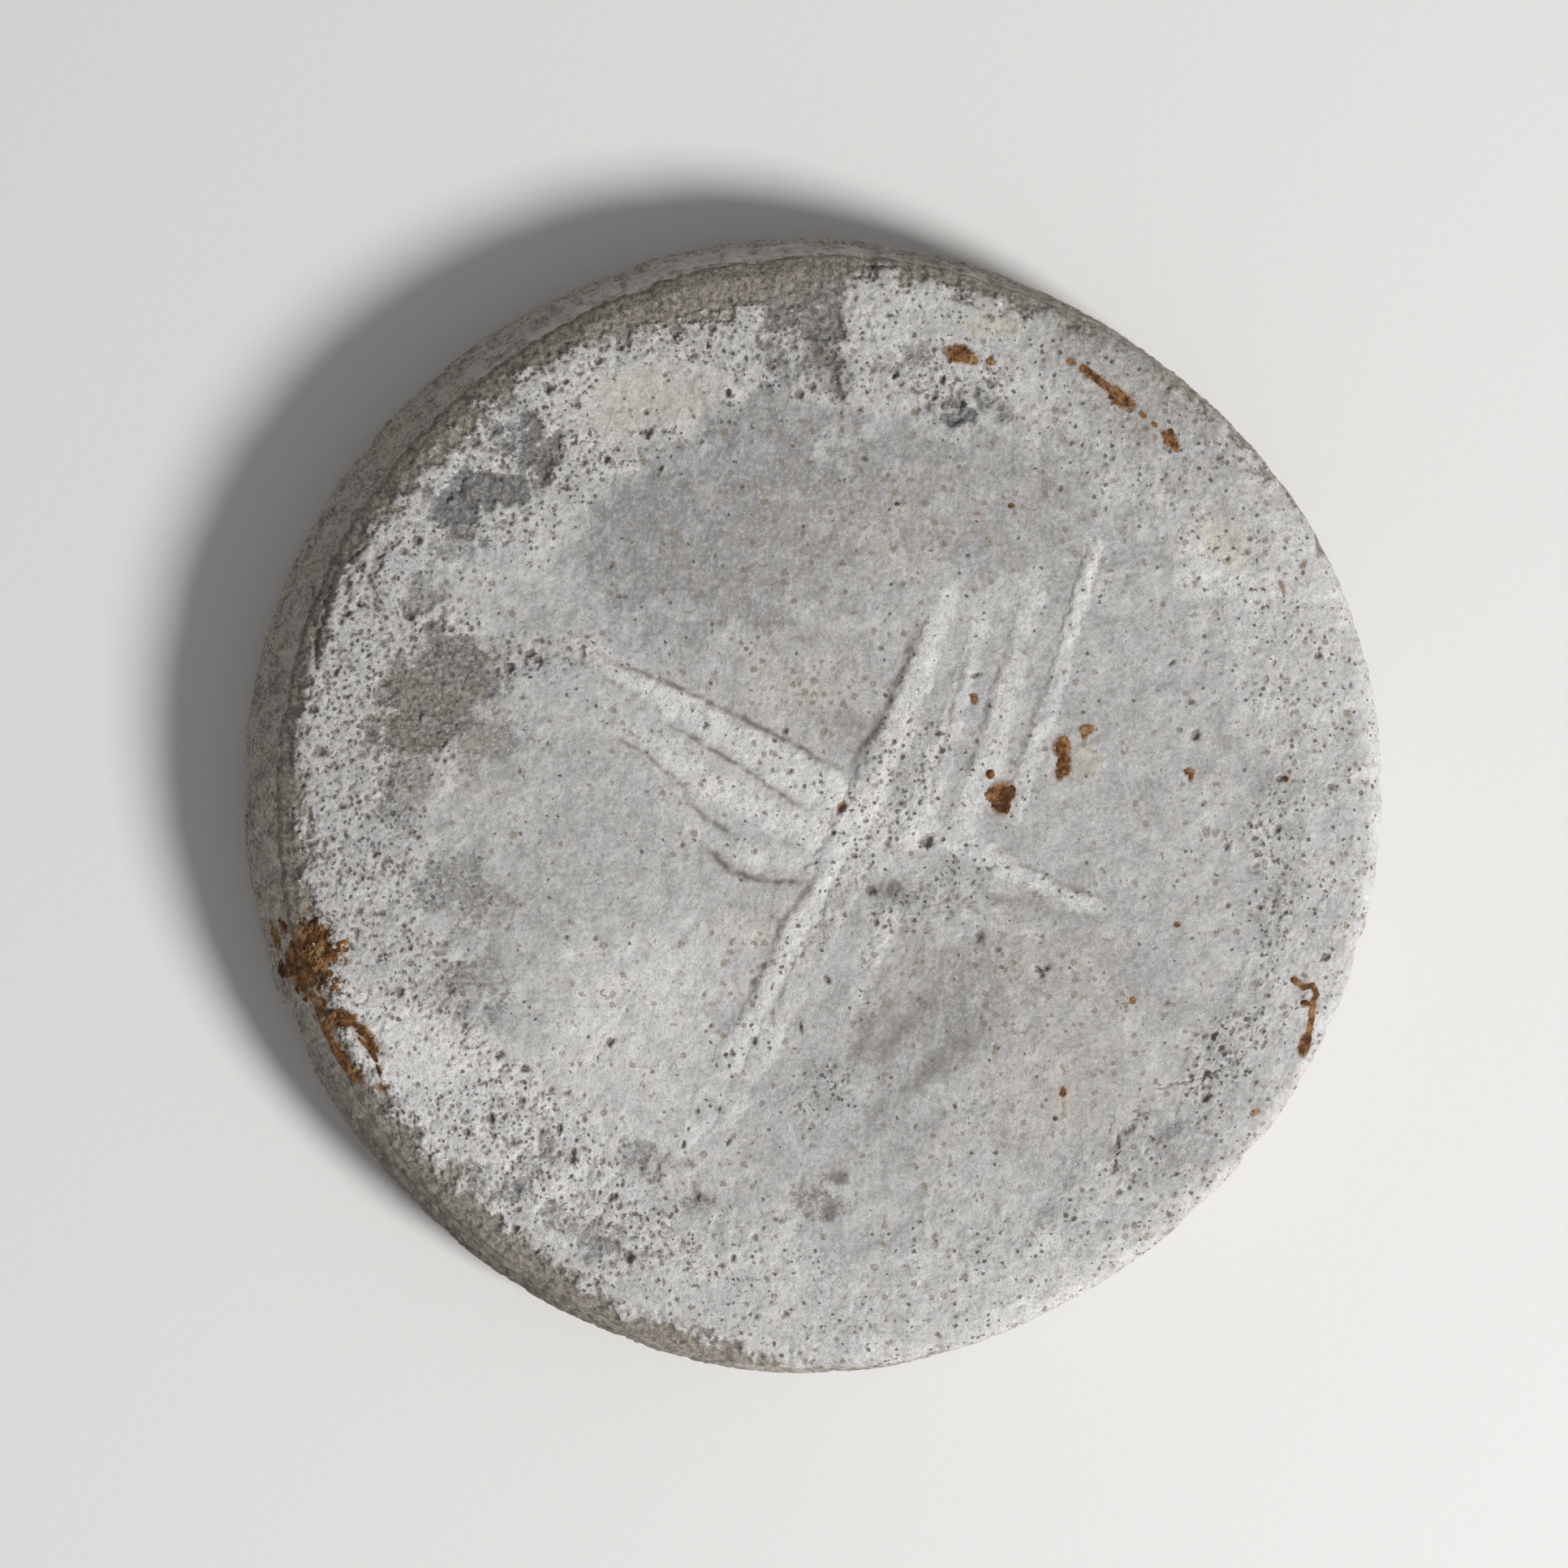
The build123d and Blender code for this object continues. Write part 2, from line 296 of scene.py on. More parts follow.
def layered_stone_material():
    """Grey-brown mudstone, cut and split: level bands, fine grit, earthy patches, painted shade on the side
    at the lower left, and pale dust on the upper side and shoulder that also paints light there. Bands are
    about 0.4 mm thick and grit about 0.2 mm."""
    material, tree, place, marks = new_material("layered_mudstone_split", ("dust_and_light", "rust", "lower_left_shade"))
    flat = add_node(tree, "ShaderNodeMapping", Vector=place, Scale=(0.10, 0.10, 1))
    band, patch, grit, chip = (
        add_node(
            tree, "ShaderNodeTexNoise", Vector=where, Scale=1 / (size * mm), Detail=detail, Roughness=jag
        )
        for where, size, detail, jag in (
            (flat, 0.4, 4, 0.6), (place, 2.2, 5, 0.7), (place, 0.22, 4, 0.75), (place, 0.9, 5, 0.75)
        )
    )
    colour = coats(tree, "#9f9b96", [
        (patch, 0.40, 0.60, 1.0, "#ada396"),
        (band, 0.48, 0.66, 0.45, "#786f64"),
        (chip, 0.52, 0.60, 0.7, "#6a635a"),
        (chip, 0.47, 0.38, 0.5, "#c4bdb2"),
        (grit, 0.50, 0.64, 0.8, "#cbc4ba"),
        (grit, 0.46, 0.34, 0.8, "#4f4942"),
        # Painted shade darkens the side at the lower left, and pale dust, also painted light, lightens the
        # upper side.
        (marks["lower_left_shade"], 0, 1, 1.0, "#6e665b"),
        (marks["dust_and_light"], 0, 1, 1.0, "#cfcac3"),
        (marks["rust"], 0, 1, 1.0, "#6b4122"),
    ])
    relief = add_node(
        tree, "ShaderNodeMath", operation="MULTIPLY_ADD", Value=band, Value_001=0.6, Value_002=grit
    )
    finish_material(tree, colour, 0.93, relief, 0.10)
    return material


def near(x, y, centre_x, centre_y, half_length, half_width=None, turn=0.0):
    """How far inside an oval a point is: 1 at its middle, 0 on its edge, less outside."""
    half_width = half_width or half_length
    cosine, sine = np.cos(np.radians(turn)), np.sin(np.radians(turn))
    along = (x - centre_x) * cosine + (y - centre_y) * sine
    across = (y - centre_y) * cosine - (x - centre_x) * sine
    return 1 - np.hypot(along / half_length, across / half_width)


def inside_any(x, y, ovals):
    """The most that a point is inside any of several ovals."""
    return np.max([near(x, y, *oval) for oval in ovals], axis=0)


# The iron on the edge is round this direction, and reaches this much further down than outward.
iron_middle = 197
iron_downward = 0.9


def edge_iron(turn, inward):
    """How far inside the iron stain on the edge a point is. It is worked out round the edge, in mm
    from its middle, and inward from the edge, in mm, where the side counts as outward."""
    around = np.radians(degrees_from(turn, iron_middle)) * mean_radius
    ragged = rough(around, inward, 0.9, 64, 4, 0.85)
    ovals = [
        (0.2, 0.3, 2.0, 1.7, -10), (-1.1, 0.8, 1.0, 0.8, 0), (0.8, -1.6, 1.4, 1.1, 15),
        (-1.3, -3.0, 0.7, 0.5, 0), (0.4, -3.4, 0.5, 0.7, 0), (-1.9, -1.6, 0.5, 0.4, 0),
        (2.9, -0.3, 1.2, 0.6, 10), (5.0, -0.1, 1.9, 0.42, 4), (7.3, 0.2, 1.1, 0.26, 8),
    ]
    return inside_any(around, inward, ovals) + 0.55 * ragged - 0.05


def stone_marks(x, y, z):
    """Pale dust lies on the shoulder under the face's edge, most at the top, and also paints light there;
    iron has run down the side; and the side at the lower left is painted darker as shade."""
    turn = np.arctan2(y, x)
    high = eased(stone_top - 3.2, stone_top - 0.4, z)
    at_top = np.exp(-((degrees_from(turn, 100) / 28) ** 2))
    patchy = eased(-0.4, 0.8, rough_round(turn, z, 1.2, 0.9, 61, 4, 0.8) + 0.5 * at_top)
    down = edge_radius(turn) - np.hypot(x, y) - iron_downward * (stone_top - z)
    return {
        # Pale dust and painted light on the upper side, strongest on the shoulder at the top.
        "dust_and_light": (0.35 + 0.85 * at_top) * high * patchy,
        "rust": 0.92 * eased(-0.15, 0.15, edge_iron(turn, down)) * eased(1.0, 4.0, z),
        # Painted shade on the side at the lower left, round 234 degrees.
        "lower_left_shade": 0.80 * np.exp(-((degrees_from(turn, 234) / 24) ** 2)),
    }


# The cut stone runs from a lip hidden under the rind, down the side, and in under the foot. Its
# points are a ring of columns with more rows near the face than near the foot.
side_columns, side_rows, under_rows = 1280, 52, 23
lip_depth = 0.9
turn = np.linspace(0, 2 * np.pi, side_columns, endpoint=False)[None, :]
drop = np.linspace(0, 1, side_rows)[:, None] ** 1.25
side = np.stack(side_point(turn + 0 * drop, drop + 0 * turn))
lip = side[:, :1] * np.array([0.95, 0.95, 1])[:, None, None]
lip[2] = stone_top - lip_depth
inner = np.linspace(0.97, 0.02, under_rows)[:, None]
under_x, under_y = side[0, -1:] * inner, side[1, -1:] * inner
under_z = foot + 0.10 * eased(0.1, 1.2, rough(under_x, under_y, 2.4, 65)) * eased(0.02, 0.1, 1 - inner)
body = np.concatenate([lip, side, np.stack([under_x, under_y, under_z])], 1)
stone_material = layered_stone_material()
stone_side = make_piece("stone_body_cut", [(*body, foot, stone_marks(*body))], stone_material, wraps=True)
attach(stone_side, "root")
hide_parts("stone_body")

# ------------------------------------------------------------------------------------------------
# The rind. A white chalky crust that grew on the face: thick, lumpy and full of pits round the
# rim, thin and rubbed smooth in the field inside it, and thinning away where it has flaked.
field_radius = 21.5
field_drift = 2.7
field_drift_direction = -30

# Single pits that stand out among the rest: (x, y, half length, half width, turn, depth).
single_pits = [
    (6.1, -2.06, 0.42, 0.38, 60, 0.30), (1.67, -0.26, 0.55, 0.28, 50, 0.20),
    (1.33, -1.64, 0.25, 0.2, 0, 0.15), (6.75, 3.4, 0.20, 0.20, 0, 0.18), (6.8, 2.7, 0.22, 0.2, 0, 0.18),
    (-1.04, 1.7, 0.40, 0.16, 40, 0.16), (-5.3, 3.9, 0.36, 0.16, 30, 0.16),
    (0.28, 1.0, 0.18, 0.18, 0, 0.12), (-2.8, 3.1, 0.2, 0.18, 0, 0.12), (4.3, 3.1, 0.22, 0.2, 0, 0.15),
    (8.7, 6.6, 0.35, 0.14, 30, 0.15), (3.29, -4.6, 0.3, 0.26, 0, 0.25), (4.4, -4.3, 0.5, 0.4, 30, 0.12),
    (11.95, -8.8, 0.26, 0.24, 0, 0.25), (12.4, -8.6, 0.22, 0.2, 0, 0.22),
    (8.9, -7.0, 0.36, 0.24, 0, 0.16), (9.9, -7.7, 0.3, 0.2, -40, 0.12),
    (-9.2, -23.5, 0.44, 0.36, 0, 0.32), (-16.4, -16.4, 0.3, 0.28, 0, 0.25),
    (-15.1, -19.9, 0.28, 0.26, 0, 0.22), (1.0, -9.3, 0.22, 0.22, 0, 0.2),
    (-0.44, -11.6, 0.2, 0.2, 0, 0.2), (-2.0, -9.6, 0.3, 0.16, 70, 0.14),
    (-2.8, -12.35, 0.25, 0.18, -30, 0.18), (-4.27, -13.0, 0.18, 0.16, 0, 0.18),
    (-3.92, -12.9, 0.18, 0.16, 0, 0.18), (-6.45, -17.8, 0.24, 0.22, 0, 0.2),
    (-4.2, -17.6, 0.3, 0.16, 50, 0.16), (-4.7, -15.9, 0.18, 0.18, 0, 0.14),
    (-12.25, -18.4, 0.28, 0.26, 0, 0.22), (-10.1, -20.5, 0.24, 0.22, 0, 0.2),
    (-5.8, -20.3, 0.22, 0.2, 0, 0.2), (20.5, -15.3, 0.3, 0.24, 40, 0.22),
    (21.0, -12.1, 0.26, 0.24, 0, 0.2), (-20.7, 9.6, 0.32, 0.30, 0, 0.28),
    (-23.9, 9.7, 0.22, 0.2, 0, 0.22), (-23.2, 10.3, 0.26, 0.24, 0, 0.24), (-19.5, 9.2, 0.2, 0.2, 0, 0.2),
    (-18.5, 8.9, 0.22, 0.22, 0, 0.2), (-22.1, 6.2, 0.28, 0.24, 0, 0.24), (-24.4, 6.8, 0.22, 0.2, 0, 0.22),
    (-25.1, 8.2, 0.2, 0.2, 0, 0.2), (-15.5, 6.9, 0.3, 0.24, 40, 0.22), (-16.1, 6.7, 0.2, 0.18, 0, 0.18),
    (-14.0, 7.2, 0.26, 0.22, 0, 0.18), (-16.35, 19.1, 0.28, 0.26, 0, 0.26),
    (-13.5, 21.4, 0.34, 0.28, 0, 0.28), (-10.5, 17.7, 0.26, 0.22, 0, 0.22),
    (-8.3, 18.95, 0.3, 0.26, 0, 0.24), (-6.1, 25.3, 0.28, 0.26, 0, 0.26),
    (-6.9, 24.2, 0.22, 0.22, 0, 0.22), (-4.2, 21.1, 0.26, 0.22, 0, 0.22),
    (-9.8, 23.5, 0.24, 0.22, 0, 0.22), (-10.9, 22.9, 0.22, 0.22, 0, 0.22),
    (-1.9, 22.6, 0.24, 0.22, 0, 0.2), (-5.1, 23.6, 0.22, 0.2, 0, 0.2), (-20.9, 15.9, 0.24, 0.22, 0, 0.22),
    (4.45, 22.15, 0.28, 0.24, 0, 0.22), (8.0, 20.5, 0.28, 0.24, 0, 0.2),
    (1.6, -19.4, 0.65, 0.5, 20, 0.10), (1.05, -21.1, 0.55, 0.5, 0, 0.10),
]

# Cracks and small steps: the points along each one, its half width and its depth.
cracks = [
    ([(0.1, 23.6), (0.9, 23.1), (1.4, 22.5), (1.2, 21.8), (1.8, 21.1)], 0.60, 0.20),
    ([(2.6, 28.1), (3.3, 27.6), (4.3, 27.9)], 0.20, 0.25),
    ([(17.5, -15.4), (16.9, -16.4), (16.1, -17.3), (15.7, -19.2)], 0.22, 0.14),
    ([(18.1, -14.8), (19.2, -14.5), (20.2, -14.3), (21.6, -13.7)], 0.14, 0.08),
    ([(-22.3, 10.2), (-22.5, 11.4), (-22.2, 12.6), (-21.2, 13.6)], 0.18, 0.16),
    ([(-18.6, 15.6), (-17.8, 16.7), (-16.7, 17.0), (-15.8, 16.6)], 0.20, 0.20),
    ([(-23.3, 16.3), (-24.3, 13.4), (-25.3, 9.3), (-25.6, 6.8)], 0.35, 0.22),
]

# Lines where brown dirt has stayed at the foot of a raised line, painted dark also as the raised line's
# shadow: points, half width, strength.
dirt_and_shadow_lines = [
    ([(-11.6, 8.2), (-10.1, 7.2), (-8.2, 6.5), (-6.25, 5.7), (-5.0, 5.1), (-2.8, 4.0), (-0.6, 2.9),
      (0.9, 2.0), (2.2, 1.5)], 0.15, 1.0),
    ([(2.0, 1.5), (2.7, 2.6), (3.4, 3.7), (4.0, 4.8), (4.7, 6.3), (5.2, 7.8), (5.7, 9.2)], 0.24, 1.0),
    ([(-7.4, 4.1), (-6.3, 3.5), (-5.4, 3.0), (-4.1, 2.2), (-3.0, 1.5), (-1.5, 0.4), (0.2, -0.6)],
      0.11, 0.9),
    ([(-10.4, 3.4), (-9.4, 3.1), (-8.4, 2.4), (-7.5, 1.6), (-6.5, 0.95), (-6.3, 0.1)], 0.13, 0.7),
    ([(-6.3, 0.1), (-5.4, -0.8), (-4.5, -1.3), (-3.9, -1.8)], 0.16, 0.8),
    ([(-5.6, -2.3), (-4.7, -2.9), (-3.9, -3.6), (-3.0, -3.9), (-1.5, -4.2), (0.2, -4.0)], 0.18, 1.0),
    ([(0.7, -3.2), (-0.4, -5.1), (-1.3, -6.2), (-2.4, -8.9), (-3.6, -11.2)], 0.22, 0.75),
    ([(2.5, -3.3), (1.6, -5.2), (0.8, -7.3), (0.1, -9.0)], 0.30, 0.55),
    ([(6.3, 0.2), (6.9, 2.6), (7.5, 5.2), (8.3, 7.9)], 0.13, 0.7),
    ([(7.8, 0.2), (8.5, 2.4), (9.2, 4.4), (9.8, 6.4), (10.4, 8.6)], 0.16, 0.7),
    ([(10.6, 0.6), (11.0, 2.4), (11.6, 4.3), (12.4, 6.6)], 0.14, 0.5),
    ([(10.5, -3.1), (12.0, -3.6), (13.4, -4.4), (15.2, -4.9)], 0.15, 0.7),
    ([(8.6, -4.6), (9.9, -5.1), (11.4, -5.2), (13.0, -5.9)], 0.30, 0.45),
    ([(1.9, 27.6), (1.3, 26.0), (1.6, 24.8), (1.2, 23.4)], 0.30, 0.5),
    ([(-0.4, 24.1), (0.7, 23.3), (1.5, 22.6), (1.2, 21.8), (1.7, 20.9)], 0.60, 0.9),
    ([(-23.3, 16.3), (-24.3, 13.4), (-25.3, 9.3), (-25.6, 6.8)], 0.40, 0.8),
    ([(-22.0, 13.2), (-22.6, 11.6), (-22.3, 10.0), (-21.9, 9.2)], 0.20, 0.7),
]

# Grey smears rubbed into the field, running with the long lines: points, half width, strength.
smears = [
    ([(2.3, -13.6), (3.2, -11.8), (4.6, -10.2)], 0.42, 0.8),
    ([(3.5, -13.7), (4.6, -12.0), (6.8, -9.6)], 0.50, 0.9),
    ([(4.7, -15.4), (6.6, -13.6), (8.9, -11.6)], 0.60, 1.0),
    ([(3.2, -16.0), (4.1, -15.5)], 0.45, 0.7),
    ([(5.7, -16.9), (7.3, -16.0)], 0.45, 0.6),
    ([(0.9, -16.0), (1.6, -15.0)], 0.40, 0.5),
    ([(1.4, 4.9), (2.6, 3.9), (3.4, 3.2), (4.0, 4.4)], 0.55, 0.9),
    ([(3.0, -4.8), (4.6, -4.3), (5.0, -5.4)], 0.55, 0.7),
]


def field_edge_radius(turn):
    """Radius of the worn field's edge, an off-centre circle."""
    return field_radius + field_drift * np.cos(turn - np.radians(field_drift_direction))


def pitted(x, y, cell, radius, share, seed):
    """Round-bottomed pits: each square cell has at most one, at a random place and of a random
    size up to radius, and only the given share of cells has any. 0 on the surface, 1 at the
    bottom of a full-sized pit."""
    chance = np.random.default_rng(seed)
    place_x, place_y, size, kept = chance.random((4, 65536))
    i, j = np.floor(x / cell).astype(np.int64), np.floor(y / cell).astype(np.int64)
    depth = np.zeros_like(x)
    for di in (-1, 0, 1):
        for dj in (-1, 0, 1):
            pick = ((i + di) * 7919 + (j + dj) * 104729) % kept.size
            reach = radius * (0.45 + 0.55 * size[pick])
            away = np.hypot(x - (i + di + place_x[pick]) * cell, y - (j + dj + place_y[pick]) * cell) / reach
            bowl = np.clip(1 - away**3, 0, 1) * reach / radius
            depth = np.maximum(depth, np.where(kept[pick] < share, bowl, 0))
    return depth


def along_line(x, y, points):
    """Distance from a line of straight runs, plus to its left and minus to its right, and how far
    along it the nearest point lies, from 0 to 1."""
    points = np.array(points, float)
    runs = np.hypot(*np.diff(points, axis=0).T)
    before = np.concatenate([[0], np.cumsum(runs)])
    best, offset, place = np.full_like(x, 1e9), np.zeros_like(x), np.zeros_like(x)
    for (ax, ay), (bx, by), length, start in zip(points[:-1], points[1:], runs, before):
        dx, dy = (bx - ax) / length, (by - ay) / length
        reach = np.clip((x - ax) * dx + (y - ay) * dy, 0, length)
        away = np.hypot(x - ax - reach * dx, y - ay - reach * dy)
        left = dx * (y - ay) - dy * (x - ax)
        closer = away < best
        best = np.where(closer, away, best)
        offset = np.where(closer, np.where(left < 0, -away, away), offset)
        place = np.where(closer, (start + reach) / before[-1], place)
    return offset, place


def rubbed(x, y, lines):
    """How strongly a point lies on any of several soft lines that fade out at their ends."""
    strength = np.zeros_like(x)
    for points, half_width, full in lines:
        offset, place = along_line(x, y, points)
        soft = np.exp(-((offset / half_width) ** 2)) * np.clip(5 * place * (1 - place) + 0.25, 0, 1)
        strength = np.maximum(strength, full * soft)
    return strength


# Each raised line is the points along its middle, with its steep flank on the left of them, its
# width at each end and its height at each end.
long_lines = [
    ([(-7.4, -18.9), (-5.5, -16.3), (-3.4, -12.0), (-1.6, -8.4), (-0.4, -6.1), (0.7, -3.9), (1.6, -2.0),
      (2.6, 0.3)], (1.5, 1.5), (0.06, 0.17)),
    ([(1.7, -2.2), (3.3, 1.0), (4.5, 3.6), (5.2, 5.2), (6.2, 7.6), (7.0, 9.8), (7.6, 12.0)], (2.3, 1.3),
      (0.20, 0.08)),
    ([(5.0, -2.6), (6.2, 0.6), (7.2, 3.4), (7.9, 5.8), (8.6, 8.2), (9.4, 11.2)], (1.7, 1.3),
      (0.15, 0.06)),
    ([(7.2, -3.0), (9.0, 1.6), (9.8, 4.0), (10.5, 6.4), (11.1, 8.6), (11.7, 11.0), (12.5, 14.2)],
      (2.2, 1.2), (0.14, 0.06)),
    ([(10.3, -1.6), (11.3, 1.6), (12.2, 4.0), (12.9, 6.2), (13.5, 8.3), (14.2, 11.0), (15.0, 14.0)],
      (1.1, 1.0), (0.08, 0.14)),
    ([(-5.0, -17.6), (-3.6, -15.4), (-2.2, -12.8), (-0.6, -9.8), (1.6, -5.4), (2.8, -2.8)], (1.3, 1.5),
      (0.05, 0.10)),
    ([(1.6, -12.4), (2.6, -9.8), (3.6, -7.4), (4.6, -5.4)], (1.1, 1.4), (0.04, 0.09)),
]
west_lines = [
    ([(-13.2, 8.8), (-10.4, 7.1), (-8.2, 5.9), (-6.2, 4.75), (-4.1, 3.5), (-1.8, 2.0), (0.3, 0.9),
      (2.2, -0.2)], (1.3, 2.3), (0.09, 0.19)),
    ([(-9.6, 3.6), (-7.3, 2.0), (-5.4, 0.9), (-3.4, -0.1), (-1.2, -1.1), (0.9, -2.1)], (1.4, 1.8),
      (0.07, 0.14)),
    ([(-6.9, -0.8), (-4.6, -2.3), (-2.6, -3.0), (-0.2, -3.2)], (1.1, 1.4), (0.04, 0.08)),
]
east_lines = [
    ([(4.4, -0.6), (7.2, -1.9), (9.0, -2.7), (10.8, -3.7), (12.8, -4.5), (15.4, -5.7)], (1.7, 1.1),
      (0.15, 0.08)),
    ([(7.4, -5.6), (9.2, -6.3), (11.0, -6.7), (12.9, -7.1)], (1.0, 0.9), (0.06, 0.04)),
]


def raised(x, y, line):
    """Height of one raised line: a rounded band, steep on its left and soft on its right, rounded
    off at its ends, and worn unevenly along its length."""
    points, widths, heights = line
    offset, place = along_line(x, y, points)
    offset = offset + 0.20 * rough(x, y, 1.3, 81, 3, 0.8)
    ends = np.clip(12 * place * (1 - place), 0, 1) ** 0.7
    half = 1.15 * (widths[0] + (widths[1] - widths[0]) * place) / 2 * (0.6 + 0.4 * ends)
    across = np.clip(np.abs(offset) / half, 0, 1)
    profile = np.where(offset > 0, (1 - across**3) ** 1.2, (1 - across**2) ** 1.5)
    height = heights[0] + (heights[1] - heights[0]) * place
    return height * ends * (0.85 + 0.40 * rough(x, y, 2.2, 85, 3)) * profile


# Iron deposits, grouped by the node they are. Each deposit is one or more ovals (x, y, half length,
# half width, turn in degrees) and any drawn lines (points, half width).
iron_deposits = {
    "rust_edge_drip": [
        ([(-24.2, -11.2, 0.75, 0.45, -8)], []),
        ([(-23.1, -11.8, 0.70, 0.26, -38), (-22.6, -12.5, 0.50, 0.18, -50)], []),
        ([(-22.5, -13.1, 0.40, 0.13, -60), (-22.9, -12.6, 0.50, 0.12, -48)], []),
        ([(-22.2, -13.9, 0.30, 0.13, -70)], []),
    ],
    "rust_top_blob": [
        ([(7.8, 23.15, 0.70, 0.42, -8), (8.3, 22.9, 0.5, 0.25, -25), (9.4, 22.75, 0.26, 0.2, 0)], []),
    ],
    "rust_streak": [
        ([(13.6, 22.75, 0.24, 0.18, 0)], [([(14.2, 22.4), (15.1, 21.7), (15.7, 21.3)], 0.20)]),
        ([(16.1, 20.9, 0.80, 0.36, -38), (17.3, 20.0, 0.22, 0.14, -40), (17.9, 19.5, 0.16, 0.12, -40)], []),
        ([(18.7, 18.8, 0.45, 0.32, -50), (19.0, 18.3, 0.25, 0.16, -60)], []),
    ],
    "rust_rim_curl": [
        ([(25.7, -12.6, 0.30, 0.60, -12)],
         [([(25.1, -9.2), (25.6, -9.6), (26.1, -9.5), (26.3, -10.0), (26.0, -10.5), (25.6, -10.4)], 0.15),
          ([(26.1, -10.5), (26.05, -11.3), (25.9, -12.0)], 0.16)]),
    ],
    "rust_field_spots": [
        ([(10.0, 0.45, 0.66, 0.55, 15), (9.95, -0.15, 0.42, 0.52, 0)], []),
        ([(9.4, 1.4, 0.2, 0.22, 0)], []),
        ([(13.1, 2.8, 0.42, 0.50, 0), (13.25, 1.9, 0.34, 0.60, 0), (13.0, 1.4, 0.22, 0.3, 0)], []),
        ([(14.4, 3.75, 0.36, 0.24, 0), (14.3, 3.45, 0.16, 0.25, 0)], []),
        ([(8.6, 5.3, 0.18, 0.30, 0)], []),
        ([(19.7, 1.55, 0.26, 0.18, 0), (19.8, 1.25, 0.14, 0.2, 0)], []),
        ([(24.7, 1.2, 0.16, 0.16, 0)], []),
        ([(19.1, -6.35, 0.18, 0.15, 0)], []),
        ([(16.8, -10.3, 0.18, 0.18, 0)], []),
        ([(13.2, -15.0, 0.17, 0.22, 0)], []),
        ([(12.8, -16.4, 0.13, 0.12, 0)], []),
        ([(10.5, 15.3, 0.16, 0.12, 0)], []),
        ([(4.6, 15.4, 0.13, 0.11, 0)], []),
    ],
}
# Iron that has only soaked in, with no crust, as ovals.
rust_soaked = [
    (-24.4, -14.6, 0.5, 0.3, 0), (-22.0, -14.8, 0.3, 0.2, 0), (16.9, 24.1, 0.7, 0.25, -40),
    (10.7, 27.1, 0.5, 0.3, -20), (14.2, 25.8, 0.35, 0.2, 0), (27.3, 12.6, 0.30, 0.9, 10),
    (28.6, 9.7, 0.25, 0.6, 10), (25.6, 12.2, 0.25, 0.18, 40), (24.5, 11.1, 0.16, 0.4, 20),
    (23.1, -16.1, 0.35, 0.2, 40), (8.8, 14.9, 0.2, 0.15, 0), (22.0, -20.0, 0.25, 0.25, 0),
    (1.7, -0.3, 0.3, 0.25, 60), (13.2, -15.8, 0.15, 0.5, 5),
]
# Yellowish stains beside the deposits.
yellow_stains = [
    (14.3, 2.0, 0.75, 1.1, 10), (13.3, -15.6, 0.6, 1.0, 0), (21.5, 13.5, 2.0, 1.0, -50),
    (9.6, 24.6, 1.5, 0.6, 0),
]

# Places where the rind has flaked to a skin and the grey stone shows: (x, y, half length, half
# width, turn in degrees), first those worn right through and then those only thinned.
flakes = [
    (-19.0, 6.3, 3.0, 2.5, 5), (-20.6, 3.6, 1.7, 1.8, 0), (-17.0, 15.7, 2.7, 1.6, 12),
    (-14.4, 18.0, 1.5, 1.8, 10), (-0.3, 27.2, 2.6, 2.6, 0), (-3.6, 27.8, 2.4, 1.3, 15),
    (0.6, 24.6, 1.2, 1.0, 0), (8.2, 20.4, 1.9, 0.7, -5),
]
thinned = [
    (-21.0, 1.2, 1.8, 3.0, 5), (-17.0, 3.6, 2.4, 2.4, 0), (-18.6, 13.6, 1.4, 1.2, 30),
    (-17.9, -4.6, 2.8, 2.0, -15), (-17.6, -9.2, 2.0, 2.4, 10), (5.0, 23.0, 1.3, 0.7, 10),
    (-16.3, -20.0, 2.3, 1.0, 20), (-12.6, -21.6, 1.4, 0.9, 0), (-0.8, 22.6, 2.4, 1.6, 0),
    (8.6, 20.2, 2.6, 1.0, -5), (-6.2, -20.4, 1.3, 0.8, 0), (1.0, -20.4, 1.5, 1.2, 0),
    (-16.0, 19.9, 1.4, 1.0, 0), (-20.0, 10.6, 1.6, 0.8, 60), (-11.0, -22.6, 1.8, 1.0, -20),
    (-13.6, -17.6, 1.4, 1.0, 30), (-8.6, -18.6, 1.3, 1.0, 0), (-22.8, -12.9, 0.9, 1.4, 30),
]
# Stone shows along the edge too: (degrees round the disc, half of the stretch, width in mm).
bare_edges = [
    (103, 13, 1.7), (135, 16, 0.5), (187, 14, 0.5), (232, 20, 0.9), (258, 10, 0.5), (72, 14, 0.5),
    (40, 12, 0.2),
]

